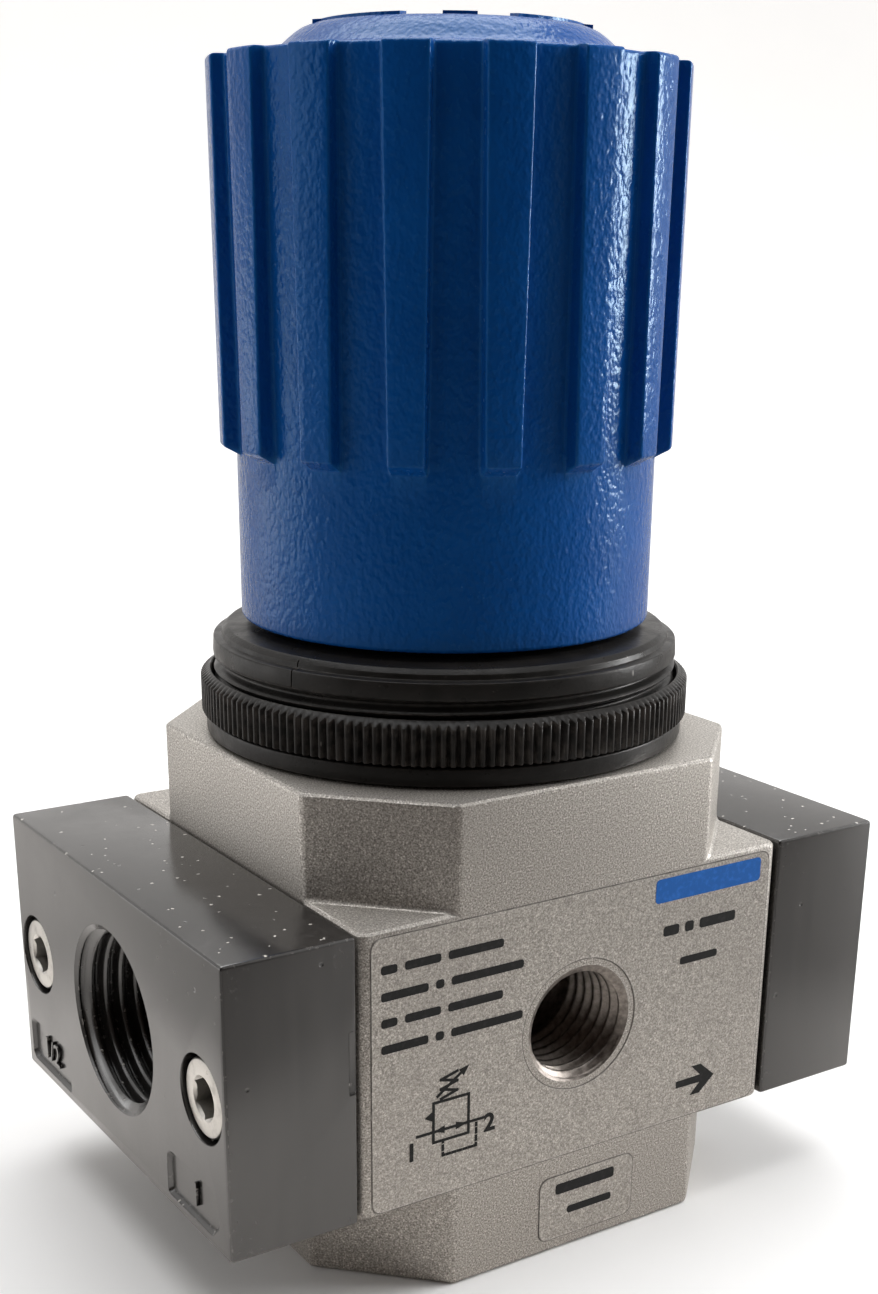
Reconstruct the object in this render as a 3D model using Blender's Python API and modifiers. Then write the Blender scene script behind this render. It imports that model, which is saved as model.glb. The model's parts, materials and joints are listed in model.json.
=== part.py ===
"""Air pressure regulator with two connecting plates, a ring nut and a rotary knob, as separate pieces.

Units are metres and +Z points up. The origin is the centre of the body's underside. Air flows along
+X from the inlet plate to the outlet plate, and the front, with the gauge port, faces -Y. Turning
pieces share the Z axis: the knob pulls up and turns the spindle, the spindle moves the spring nut,
the spring loads the diaphragm, and the diaphragm pushes the poppet off its seat.
"""

import math

import bmesh
import bpy
from mathutils import Matrix

MM = 0.001
GAP = 0.3 * MM            # clearance between pieces that rest on each other

# Die-cast body: a square block between two eight-sided ends
BODY_SIDE = 55.0 * MM
BODY_HEIGHT = 55.0 * MM
FLAT_HALF = 16.3 * MM     # half width of an end's front, back and side flats
BLOCK_LOW = 11.5 * MM
BLOCK_HIGH = 43.5 * MM
PORT_HEIGHT = 27.5 * MM   # height of the ports' axes
EDGE_ROUND = 0.8 * MM

# Connecting plates and their ports
PLATE_THICKNESS = 15.0 * MM
PORT_BORE = 9.33 * MM     # minor radius of a G1/2 thread
PORT_MOUTH = 10.6 * MM
PASSAGE_RADIUS = 9.0 * MM
PLATE_SCREW_Y = 22.0 * MM
SCREW_HEAD_RADIUS = 4.25 * MM
SCREW_HEAD_HEIGHT = 5.0 * MM
SCREW_SHANK_RADIUS = 2.5 * MM
SCREW_LENGTH = 20.0 * MM
COUNTERBORE_RADIUS = 4.7 * MM
COUNTERBORE_DEPTH = 5.6 * MM
SEAL_GROOVE_INNER = 11.15 * MM
SEAL_GROOVE_OUTER = 13.85 * MM
SEAL_GROOVE_DEPTH = 2.4 * MM
MARK_DEPTH = 0.5 * MM     # recesses that frame the port numerals, low in the outer face
MARK_NEAR = 13.5 * MM
MARK_FAR = 25.5 * MM
MARK_LOW = 12.8 * MM
MARK_HIGH = 18.0 * MM

# Gauge ports, front and back
GAUGE_BORE = 5.75 * MM    # minor radius of a G1/4 thread
GAUGE_DEPTH = 12.0 * MM
PLUG_SEAT_RADIUS = 7.6 * MM
PLUG_SEAT_DEPTH = 3.2 * MM

# Label films in shallow recesses on the front: low x, low z, high x, high z
LABEL_THICKNESS = 0.2 * MM
LABEL_RECESS = LABEL_THICKNESS + GAP
FRONT_LABEL = (-26.2 * MM, 12.0 * MM, 26.2 * MM, 42.7 * MM)
ORDER_LABEL = (-4.6 * MM, 1.6 * MM, 8.4 * MM, 9.4 * MM)
CUTOUT_RADIUS = 7.9 * MM

# Stepped bore on the Z axis, from the bonnet pocket down to the plug
POCKET_RADIUS = 23.4 * MM
POCKET_FLOOR = 46.0 * MM
CHAMBER_RADIUS = 16.0 * MM
CHAMBER_FLOOR = 42.0 * MM
OUTLET_CAVITY_RADIUS = 12.0 * MM
WEB_HIGH = 29.0 * MM
WEB_LOW = 24.0 * MM
SEAT_BORE = 8.8 * MM
INLET_CAVITY_RADIUS = 10.0 * MM
PLUG_BORE = 12.0 * MM
PLUG_TOP = 11.5 * MM
PLUG_RECESS_RADIUS = 13.4 * MM
PLUG_RECESS_DEPTH = 3.7 * MM

# Bonnet, ring nut and knob, measured from the body's top face
FLANGE_RADIUS = 27.0 * MM
FLANGE_HIGH = 57.2 * MM
RING_HIGH = 62.1 * MM
RING_RADIUS = 27.5 * MM
RING_BORE = 26.35 * MM
COLLAR_THREAD_RADIUS = 26.0 * MM
COLLAR_GROOVE_RADIUS = 25.1 * MM
COLLAR_HIGH = 63.9 * MM
BAND_HIGH = 65.8 * MM
UPPER_BAND_RADIUS = 25.2 * MM
BONNET_SHOULDER = 67.0 * MM
SHOULDER_RADIUS = 24.2 * MM
TOWER_RADIUS = 18.6 * MM
TOWER_BORE = 15.5 * MM
TOWER_HIGH = 106.0 * MM
TOWER_ROOF = 102.0 * MM   # underside of the tower's top wall
SKIRT_BOTTOM = 68.0 * MM
SKIRT_RADIUS = 22.7 * MM
KNOB_BORE = 20.7 * MM
KNOB_RIM = 123.7 * MM
KNOB_TOP = 127.9 * MM
CROWN_FOOT = (17.0 * MM, 124.5 * MM)     # radius and height where the crown rises from the knob's top
CROWN_EDGE = (14.5 * MM, 126.0 * MM)
BUTTON_FOOT = (4.0 * MM, 127.2 * MM)     # the small button in the crown's middle
BUTTON_EDGE = (2.5 * MM, 127.6 * MM)
RIB_COUNT = 16
RIB_RADIUS = 24.5 * MM
RIB_LOW = 86.0 * MM
RIB_WIDTH_LOW = 3.95 * MM
RIB_WIDTH_HIGH = 4.9 * MM
RIB_PHASE = math.radians(4.0)
HUB_RADIUS = 9.0 * MM
HUB_BOTTOM = 108.0 * MM

# Adjusting mechanism
SPINDLE_RADIUS = 5.75 * MM
SPINDLE_BOTTOM = 68.0 * MM
HEX_ACROSS = 10.0 * MM    # the knob's drive, across flats
THRUST_FLANGE_RADIUS = 9.0 * MM
THRUST_FLANGE_HIGH = 100.6 * MM
DETENT_HEIGHT = 113.0 * MM
NUT_RADIUS = 15.0 * MM
NUT_LOW = 88.0 * MM
NUT_HIGH = 95.0 * MM
NUT_BOSS_RADIUS = 7.9 * MM
NUT_BOSS_LOW = 84.0 * MM
EAR_RADIUS = 16.9 * MM
EAR_WIDTH = 4.4 * MM
MAIN_WIRE = 4.0 * MM
MAIN_MEAN_RADIUS = 10.3 * MM
MAIN_TURNS = 5.0

# Diaphragm and valve
PLATE_LOW = 47.9 * MM     # underside of the spring plate
PLATE_HIGH = 51.0 * MM
PLATE_BOSS_HIGH = 54.0 * MM
RELIEF_LOW = 43.6 * MM    # underside of the relief seat's disc
RELIEF_STUB_RADIUS = 3.2 * MM
RELIEF_HOLE = 1.3 * MM
SEAT_EDGE = 23.5 * MM     # height of the valve seat's sealing edge
SEAT_HOLE = 4.6 * MM
POPPET_TOP = 43.3 * MM
POPPET_STEM_RADIUS = 1.6 * MM
POPPET_DISC_RADIUS = 6.8 * MM
POPPET_DISC_HIGH = 20.9 * MM
POPPET_DISC_LOW = 17.8 * MM
POPPET_GUIDE_RADIUS = 2.6 * MM
POPPET_BOTTOM = 6.0 * MM
PLUG_FLOOR = 8.0 * MM     # inside floor of the bottom plug, under the return spring
RETURN_WIRE = 0.9 * MM
RETURN_MEAN_RADIUS = 4.2 * MM
RETURN_TURNS = 5.0

ROUND_STEPS = 36
SMALL_STEPS = 20
SHARP_ANGLE = math.radians(35.0)
MERGE = 0.00001

parts = None              # collections and the assembly's parent empty, made by build()
cutters = None
assembly = None


# ---------------------------------------------------------------- helpers


def start_empty():
    for obj in list(bpy.data.objects):
        bpy.data.objects.remove(obj)


def new_collection(name):
    collection = bpy.data.collections.new(name)
    bpy.context.scene.collection.children.link(collection)
    return collection


def material(name, colour, roughness, metallic=0.0):
    made = bpy.data.materials.new(name)
    made.use_nodes = True
    shader = made.node_tree.nodes["Principled BSDF"]
    shader.inputs["Base Color"].default_value = (*colour, 1.0)
    shader.inputs["Roughness"].default_value = roughness
    shader.inputs["Metallic"].default_value = metallic
    return made


def adopt(obj, finish=None):
    """Moves an object into the parts collection, or into the cutters if it has no finish."""
    for holder in list(obj.users_collection):
        holder.objects.unlink(obj)
    if finish is None:
        cutters.objects.link(obj)
        obj.display_type = 'WIRE'
        obj.hide_render = True
    else:
        parts.objects.link(obj)
        obj.parent = assembly
        obj.data.materials.clear()
        obj.data.materials.append(finish)
    return obj


def smooth(obj):
    obj.data.shade_smooth()
    obj.data.set_sharp_from_angle(angle=SHARP_ANGLE)
    return obj


def baked(obj):
    """Replaces an object by a plain mesh object of its evaluated shape, in the same place."""
    bpy.context.view_layer.update()
    evaluated = obj.evaluated_get(bpy.context.evaluated_depsgraph_get())
    mesh = bpy.data.meshes.new_from_object(evaluated)
    work = bmesh.new()
    work.from_mesh(mesh)
    bmesh.ops.remove_doubles(work, verts=work.verts, dist=MERGE)
    work.to_mesh(mesh)
    work.free()
    name = obj.name
    place = obj.matrix_world.copy()
    bpy.data.objects.remove(obj)
    mesh_object = bpy.data.objects.new(name, mesh)
    mesh_object.matrix_world = place
    bpy.context.scene.collection.objects.link(mesh_object)
    return smooth(mesh_object)


def turned(name, profile, finish=None, ring=False, steps=ROUND_STEPS):
    """A turned piece about Z. The profile runs down its outer side; a ring's profile closes on itself."""
    mesh = bpy.data.meshes.new(name)
    edges = [(i, i + 1) for i in range(len(profile) - 1)]
    if ring:
        edges.append((len(profile) - 1, 0))
    mesh.from_pydata([(radius, 0.0, height) for radius, height in profile], edges, [])
    obj = bpy.data.objects.new(name, mesh)
    bpy.context.scene.collection.objects.link(obj)
    screw = obj.modifiers.new("turn", 'SCREW')
    screw.axis = 'Z'
    screw.steps = steps
    screw.render_steps = steps
    screw.use_merge_vertices = True
    screw.merge_threshold = MERGE
    return adopt(baked(obj), finish)


def block(name, low, high, finish=None, rounding=0.0):
    """A box between two corners, with its edges rounded by a bevel if it has a rounding."""
    mesh = bpy.data.meshes.new(name)
    size = [b - a for a, b in zip(low, high)]
    work = bmesh.new()
    bmesh.ops.create_cube(work, size=1.0, matrix=Matrix.Diagonal((*size, 1.0)))
    work.to_mesh(mesh)
    work.free()
    obj = bpy.data.objects.new(name, mesh)
    obj.location = [(a + b) / 2 for a, b in zip(low, high)]
    bpy.context.scene.collection.objects.link(obj)
    if rounding:
        bevel = obj.modifiers.new("edges", 'BEVEL')
        bevel.width = rounding
        bevel.segments = 2
        obj = baked(obj)
    return adopt(obj, finish)


def drill(name, radius, start, length, turn=None, steps=ROUND_STEPS):
    """A cylindrical cutter from a start point, along +Z or along +Z turned by a rotation matrix."""
    mesh = bpy.data.meshes.new(name)
    work = bmesh.new()
    bmesh.ops.create_cone(
        work, cap_ends=True, segments=steps, radius1=radius, radius2=radius, depth=length,
        matrix=Matrix.Translation((0.0, 0.0, length / 2)),
    )
    work.to_mesh(mesh)
    work.free()
    obj = bpy.data.objects.new(name, mesh)
    obj.matrix_world = Matrix.Translation(start) @ (turn or Matrix.Identity(4))
    bpy.context.scene.collection.objects.link(obj)
    return adopt(smooth(obj))


def hex_radius(across_flats):
    return across_flats / math.sqrt(3.0)


def combine(target, tool, operation='DIFFERENCE'):
    modifier = target.modifiers.new(tool.name, 'BOOLEAN')
    modifier.operation = operation
    modifier.solver = 'EXACT'
    modifier.object = tool
    return target


def seal(name, finish, radius, section, steps=24):
    """An O-ring about Z, centred on its own origin."""
    bpy.ops.mesh.primitive_torus_add(
        major_segments=steps, minor_segments=6, major_radius=radius, minor_radius=section,
    )
    obj = bpy.context.active_object
    obj.name = name
    return adopt(smooth(obj), finish)


def coil(name, finish, mean_radius, wire, low, high, turns, steps_per_turn=14):
    """A compression spring about Z between two heights, with one closed turn at each end."""
    dead = wire * 1.03
    span = high - low - wire
    active = turns - 2.0
    pitch = (span - 2.0 * dead) / active
    curve = bpy.data.curves.new(name, 'CURVE')
    curve.dimensions = '3D'
    curve.bevel_depth = wire / 2
    curve.bevel_resolution = 2
    curve.use_fill_caps = True
    spline = curve.splines.new('POLY')
    count = int(turns * steps_per_turn) + 1
    spline.points.add(count - 1)
    for i, point in enumerate(spline.points):
        turn = i / steps_per_turn
        rise = dead * min(turn, 1.0)
        rise += pitch * min(max(turn - 1.0, 0.0), active)
        rise += dead * max(turn - 1.0 - active, 0.0)
        angle = math.tau * turn
        point.co = (
            mean_radius * math.cos(angle), mean_radius * math.sin(angle), low + wire / 2 + rise, 1.0,
        )
    obj = bpy.data.objects.new(name, curve)
    bpy.context.scene.collection.objects.link(obj)
    return adopt(baked(obj), finish)


def flat_outline(name, outlines, start, depth, finish=None):
    """Closed outlines in the XZ plane at the start's Y, filled and extruded towards -Y."""
    curve = bpy.data.curves.new(name, 'CURVE')
    curve.dimensions = '2D'
    curve.fill_mode = 'BOTH'
    curve.extrude = depth / 2
    for outline in outlines:
        spline = curve.splines.new('POLY')
        spline.points.add(len(outline) - 1)
        spline.use_cyclic_u = True
        for point, (x, z) in zip(spline.points, outline):
            point.co = (x, z, 0.0, 1.0)
    obj = bpy.data.objects.new(name, curve)
    obj.rotation_euler = (math.pi / 2, 0.0, 0.0)
    obj.location = (0.0, start - depth / 2, 0.0)
    bpy.context.scene.collection.objects.link(obj)
    return adopt(baked(obj), finish)


# ---------------------------------------------------------------- housing


def corner_cutters():
    """Boxes that cut the four vertical corners off the body's two ends."""
    chamfer = (BODY_SIDE / 2 + FLAT_HALF) / math.sqrt(2.0)
    reach = BODY_SIDE / 2
    made = []
    for end, low, high in (("top", BLOCK_HIGH, BODY_HEIGHT + 1 * MM), ("bottom", -1 * MM, BLOCK_LOW)):
        for quarter in range(4):
            angle = math.radians(45.0 + 90.0 * quarter)
            tool = block(f"corner_{end}_{quarter}", (-reach / 2, -reach, low), (reach / 2, reach, high))
            distance = chamfer + reach / 2
            tool.location.x = distance * math.cos(angle)
            tool.location.y = distance * math.sin(angle)
            tool.rotation_euler.z = angle
            made.append(tool)
    return made


def make_body(finish):
    half = BODY_SIDE / 2
    body = block("body", (-half, -half, 0.0), (half, half, BODY_HEIGHT), finish, EDGE_ROUND)
    for tool in corner_cutters():
        combine(body, tool)

    margin = 1 * MM
    combine(body, turned("stepped_bore", [
        (0.0, BODY_HEIGHT + margin),
        (POCKET_RADIUS, BODY_HEIGHT + margin),
        (POCKET_RADIUS, POCKET_FLOOR),
        (CHAMBER_RADIUS, POCKET_FLOOR),
        (CHAMBER_RADIUS, CHAMBER_FLOOR),
        (OUTLET_CAVITY_RADIUS, CHAMBER_FLOOR),
        (OUTLET_CAVITY_RADIUS, WEB_HIGH),
        (SEAT_BORE, WEB_HIGH),
        (SEAT_BORE, WEB_LOW),
        (INLET_CAVITY_RADIUS, WEB_LOW),
        (INLET_CAVITY_RADIUS, PLUG_TOP),
        (PLUG_BORE, PLUG_TOP),
        (PLUG_BORE, PLUG_RECESS_DEPTH),
        (PLUG_RECESS_RADIUS, PLUG_RECESS_DEPTH),
        (PLUG_RECESS_RADIUS, -margin),
        (0.0, -margin),
    ]))

    passage_end = 13.5 * MM
    slot_half = 5.0 * MM
    slot_near = 8.0 * MM
    slot_far = passage_end + 1.5 * MM
    for side, port, low, high in (
        (-1, "inlet", PORT_HEIGHT - 8.5 * MM, WEB_LOW),
        (1, "outlet", WEB_HIGH + 0.5 * MM, PORT_HEIGHT + 8.5 * MM),
    ):
        along = Matrix.Rotation(side * math.pi / 2, 4, 'Y')
        combine(body, drill(
            f"{port}_passage", PASSAGE_RADIUS, (side * passage_end, 0.0, PORT_HEIGHT),
            half - passage_end + margin, along,
        ))
        near, far = sorted((side * slot_near, side * slot_far))
        combine(body, block(f"{port}_slot", (near, -slot_half, low), (far, slot_half, high)))
        for y in (-PLATE_SCREW_Y, PLATE_SCREW_Y):
            thread_end = 15.0 * MM
            combine(body, drill(
                f"{port}_tapped_hole_{'front' if y < 0 else 'rear'}", SCREW_SHANK_RADIUS + GAP,
                (side * thread_end, y, PORT_HEIGHT), half - thread_end + margin, along, SMALL_STEPS,
            ))

    gauge_floor = half - GAUGE_DEPTH
    link_half = 2.0 * MM
    link_near = INLET_CAVITY_RADIUS + 1.3 * MM
    link_high = 33.0 * MM
    for side, face in ((-1, "front"), (1, "rear")):
        outward = Matrix.Rotation(-side * math.pi / 2, 4, 'X')
        start = (0.0, side * gauge_floor, PORT_HEIGHT)
        combine(body, drill(f"{face}_gauge_bore", GAUGE_BORE, start, GAUGE_DEPTH + margin, outward))
        near, far = sorted((side * link_near, side * (gauge_floor + 1.5 * MM)))
        combine(body, block(
            f"{face}_gauge_link", (-link_half, near, PORT_HEIGHT), (link_half, far, link_high),
        ))
    combine(body, drill(
        "rear_plug_seat", PLUG_SEAT_RADIUS, (0.0, half - PLUG_SEAT_DEPTH, PORT_HEIGHT),
        PLUG_SEAT_DEPTH + margin, Matrix.Rotation(-math.pi / 2, 4, 'X'),
    ))
    for name, recess in (("front_label", FRONT_LABEL), ("order_label", ORDER_LABEL)):
        low_x, low_z, high_x, high_z = recess
        combine(body, block(
            f"{name}_recess",
            (low_x - GAP, -half - margin, low_z - GAP),
            (high_x + GAP, -half + LABEL_RECESS, high_z + GAP),
        ))
    return body


def rounded_rectangle(low_x, low_z, high_x, high_z, radius, steps=5):
    """Corner points of a rectangle with its four corners rounded."""
    centres = (
        (high_x - radius, high_z - radius, 0.0),
        (low_x + radius, high_z - radius, 90.0),
        (low_x + radius, low_z + radius, 180.0),
        (high_x - radius, low_z + radius, 270.0),
    )
    points = []
    for x, z, first in centres:
        for i in range(steps + 1):
            angle = math.radians(first + 90.0 * i / steps)
            points.append((x + radius * math.cos(angle), z + radius * math.sin(angle)))
    return points


def circle_points(radius, height, steps):
    """Points of a circle about the port axis, seen from the front."""
    return [
        (radius * math.cos(math.tau * i / steps), height + radius * math.sin(math.tau * i / steps))
        for i in range(steps)
    ]


def make_labels(finish):
    outer_face = -BODY_SIDE / 2
    start = outer_face + LABEL_THICKNESS
    corner = 1.2 * MM
    flat_outline(
        "front_label",
        [rounded_rectangle(*FRONT_LABEL, corner), circle_points(CUTOUT_RADIUS, PORT_HEIGHT, ROUND_STEPS)],
        start, LABEL_THICKNESS, finish,
    )
    flat_outline("order_label", [rounded_rectangle(*ORDER_LABEL, corner)], start, LABEL_THICKNESS, finish)


def make_plate(name, side, finish):
    """A connecting plate on one side of the body, with its port, screw holes, seal groove and marks."""
    half = BODY_SIDE / 2
    inner = half + GAP
    outer = half + PLATE_THICKNESS
    near, far = sorted((side * inner, side * outer))
    plate = block(name, (near, -half, BLOCK_LOW), (far, half, BLOCK_HIGH), finish, EDGE_ROUND)
    along = Matrix.Rotation(side * math.pi / 2, 4, 'Y')
    margin = 1 * MM
    mouth_depth = PORT_MOUTH - PORT_BORE

    port = turned(f"{name}_port", [
        (0.0, outer + margin),
        (PORT_MOUTH + margin, outer + margin),
        (PORT_BORE, outer - mouth_depth),
        (PORT_BORE, inner - margin),
        (0.0, inner - margin),
    ])
    ring = turned(f"{name}_seal_groove", [
        (SEAL_GROOVE_INNER, inner + SEAL_GROOVE_DEPTH),
        (SEAL_GROOVE_OUTER, inner + SEAL_GROOVE_DEPTH),
        (SEAL_GROOVE_OUTER, inner - margin),
        (SEAL_GROOVE_INNER, inner - margin),
    ], ring=True)
    for tool in (port, ring):
        tool.matrix_world = Matrix.Translation((0.0, 0.0, PORT_HEIGHT)) @ along
        combine(plate, tool)

    for y in (-PLATE_SCREW_Y, PLATE_SCREW_Y):
        place = "front" if y < 0 else "rear"
        combine(plate, drill(
            f"{name}_{place}_hole", SCREW_SHANK_RADIUS + GAP, (side * (inner - margin), y, PORT_HEIGHT),
            PLATE_THICKNESS + 2 * margin, along, SMALL_STEPS,
        ))
        combine(plate, drill(
            f"{name}_{place}_counterbore", COUNTERBORE_RADIUS,
            (side * (outer - COUNTERBORE_DEPTH), y, PORT_HEIGHT), COUNTERBORE_DEPTH + margin, along,
            SMALL_STEPS,
        ))
        low_y, high_y = sorted((math.copysign(MARK_NEAR, y), math.copysign(MARK_FAR, y)))
        near, far = sorted((side * (outer - MARK_DEPTH), side * (outer + margin)))
        combine(plate, block(f"{name}_{place}_mark", (near, low_y, MARK_LOW), (far, high_y, MARK_HIGH)))
    return plate


def make_port_seal(name, side, finish):
    section = 1.0 * MM
    ring = seal(name, finish, (SEAL_GROOVE_INNER + SEAL_GROOVE_OUTER) / 2, section)
    ring.rotation_euler.y = math.pi / 2
    ring.location = (side * (BODY_SIDE / 2 + GAP + section + 0.05 * MM), 0.0, PORT_HEIGHT)


def make_plate_screw(name, side, y, finish):
    """A socket-head screw along X, with its head down in the plate's counterbore."""
    edge = 0.4 * MM
    screw = turned(name, [
        (0.0, SCREW_HEAD_HEIGHT),
        (SCREW_HEAD_RADIUS - edge, SCREW_HEAD_HEIGHT),
        (SCREW_HEAD_RADIUS, SCREW_HEAD_HEIGHT - edge),
        (SCREW_HEAD_RADIUS, 0.0),
        (SCREW_SHANK_RADIUS, 0.0),
        (SCREW_SHANK_RADIUS, edge - SCREW_LENGTH),
        (SCREW_SHANK_RADIUS - edge, -SCREW_LENGTH),
        (0.0, -SCREW_LENGTH),
    ], finish, steps=SMALL_STEPS)
    socket_across = 4.0 * MM
    socket_depth = 2.5 * MM
    socket = drill(
        f"{name}_socket", hex_radius(socket_across), (0.0, 0.0, SCREW_HEAD_HEIGHT - socket_depth),
        socket_depth + 1 * MM, steps=6,
    )
    head_seat = BODY_SIDE / 2 + PLATE_THICKNESS - COUNTERBORE_DEPTH + GAP
    outward = Matrix.Rotation(side * math.pi / 2, 4, 'Y')
    place = Matrix.Translation((side * head_seat, y, PORT_HEIGHT)) @ outward
    screw.matrix_world = place
    socket.matrix_world = place @ socket.matrix_world
    combine(screw, socket)


def make_gauge_plug(finish, rubber):
    """The blanking plug of the rear gauge port and its seal, both flush inside the body's back face."""
    face = BODY_SIDE / 2
    head_top = -0.2 * MM
    head_low = -1.5 * MM
    head_radius = PLUG_SEAT_RADIUS - 0.4 * MM
    shank_radius = GAUGE_BORE - GAP
    shank_end = 1 * MM - GAUGE_DEPTH
    plug = turned("rear_gauge_plug", [
        (0.0, head_top),
        (head_radius, head_top),
        (head_radius, head_low),
        (shank_radius, head_low),
        (shank_radius, shank_end),
        (0.0, shank_end),
    ], finish, steps=SMALL_STEPS)
    socket_across = 6.0 * MM
    socket_depth = 5.0 * MM
    socket = drill(
        "rear_gauge_plug_socket", hex_radius(socket_across), (0.0, 0.0, -socket_depth),
        socket_depth + 1 * MM, steps=6,
    )
    place = Matrix.Translation((0.0, face, PORT_HEIGHT)) @ Matrix.Rotation(-math.pi / 2, 4, 'X')
    plug.matrix_world = place
    socket.matrix_world = place @ socket.matrix_world
    combine(plug, socket)
    ring_radius = 6.55 * MM
    section = 0.5 * MM
    ring = seal("rear_plug_seal", rubber, ring_radius, section, SMALL_STEPS)
    ring.rotation_euler.x = math.pi / 2
    ring.location = (0.0, face + head_low - GAP - section - 0.05 * MM, PORT_HEIGHT)


# ---------------------------------------------------------------- bonnet and adjustment


def make_bonnet(finish):
    """Flange, threaded collar and two bands outside, guide tower inside the knob, skirt in the body."""
    flange_low = BODY_HEIGHT + GAP
    skirt_radius = POCKET_RADIUS - GAP
    skirt_bore = 17.0 * MM
    skirt_low = 47.9 * MM
    spindle_hole = 6.5 * MM
    bonnet = turned("bonnet", [
        (spindle_hole, TOWER_HIGH),
        (TOWER_RADIUS - 1 * MM, TOWER_HIGH),
        (TOWER_RADIUS, TOWER_HIGH - 1 * MM),
        (TOWER_RADIUS, BONNET_SHOULDER + 0.3 * MM),
        (SHOULDER_RADIUS, BONNET_SHOULDER),
        (UPPER_BAND_RADIUS - 0.4 * MM, BONNET_SHOULDER - 0.2 * MM),
        (UPPER_BAND_RADIUS, BAND_HIGH),
        (COLLAR_THREAD_RADIUS, BAND_HIGH),
        (COLLAR_THREAD_RADIUS, COLLAR_HIGH),
        (COLLAR_GROOVE_RADIUS, COLLAR_HIGH - 0.3 * MM),
        (COLLAR_GROOVE_RADIUS, RING_HIGH + 0.9 * MM),
        (COLLAR_THREAD_RADIUS, RING_HIGH + 0.6 * MM),
        (COLLAR_THREAD_RADIUS, FLANGE_HIGH),
        (FLANGE_RADIUS, FLANGE_HIGH),
        (FLANGE_RADIUS, flange_low),
        (skirt_radius, flange_low),
        (skirt_radius, skirt_low),
        (skirt_bore, skirt_low),
        (skirt_bore, BODY_HEIGHT),
        (TOWER_BORE, BODY_HEIGHT + 2 * MM),
        (TOWER_BORE, TOWER_ROOF),
        (spindle_hole, TOWER_ROOF),
    ], finish, ring=True)
    slot_radius = EAR_RADIUS + GAP
    slot_half = EAR_WIDTH / 2 + GAP
    slot_low = 70.0 * MM
    slot_high = 98.0 * MM
    combine(bonnet, block(
        "ear_slots", (-slot_radius, -slot_half, slot_low), (slot_radius, slot_half, slot_high),
    ))
    return bonnet


def make_ring_nut(finish):
    low = FLANGE_HIGH + GAP
    edge = 0.4 * MM
    turned("ring_nut", [
        (RING_BORE, RING_HIGH),
        (RING_RADIUS - edge, RING_HIGH - 0.1 * MM),
        (RING_RADIUS, RING_HIGH - edge),
        (RING_RADIUS, low + edge),
        (RING_RADIUS - edge, low),
        (RING_BORE, low),
    ], finish, ring=True, steps=48)


def make_rib_blank():
    """The sixteen grip ribs as one tool, each wider at the top and sunk into the knob's wall."""
    mesh = bpy.data.meshes.new("knob_ribs")
    low = RIB_LOW
    high = KNOB_RIM - 0.3 * MM
    inner = SKIRT_RADIUS - 1 * MM
    tip = 0.35 * MM
    work = bmesh.new()
    for i in range(RIB_COUNT):
        angle = RIB_PHASE + math.tau * i / RIB_COUNT
        made = bmesh.ops.create_cube(work, size=1.0)["verts"]
        for vert in made:
            outside = vert.co.x > 0
            above = vert.co.z > 0
            width = RIB_WIDTH_HIGH if above else RIB_WIDTH_LOW
            vert.co.y *= width - (2 * tip if outside else 0.0)
            vert.co.x = RIB_RADIUS if outside else inner
            vert.co.z = high if above else low
        bmesh.ops.rotate(work, verts=made, matrix=Matrix.Rotation(angle, 3, 'Z'))
    work.to_mesh(mesh)
    work.free()
    obj = bpy.data.objects.new("knob_ribs", mesh)
    bpy.context.scene.collection.objects.link(obj)
    return adopt(obj)


def make_knob(finish):
    rim = 0.9 * MM
    roof = 121.0 * MM
    knob = turned("knob", [
        (0.0, KNOB_TOP),
        BUTTON_EDGE,
        BUTTON_FOOT,
        CROWN_EDGE,
        CROWN_FOOT,
        (SKIRT_RADIUS - rim, KNOB_RIM),
        (SKIRT_RADIUS, KNOB_RIM - rim),
        (SKIRT_RADIUS, SKIRT_BOTTOM),
        (KNOB_BORE, SKIRT_BOTTOM),
        (KNOB_BORE, roof),
        (HUB_RADIUS, roof + 0.5 * MM),
        (HUB_RADIUS, HUB_BOTTOM),
        (0.0, HUB_BOTTOM),
    ], finish)
    combine(knob, make_rib_blank(), 'UNION')
    clearance = 0.4 * MM
    socket_depth = 13.5 * MM
    combine(knob, drill(
        "knob_socket", hex_radius(HEX_ACROSS + clearance), (0.0, 0.0, HUB_BOTTOM - 1 * MM),
        socket_depth + 1 * MM, steps=6,
    ))
    return knob


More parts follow.
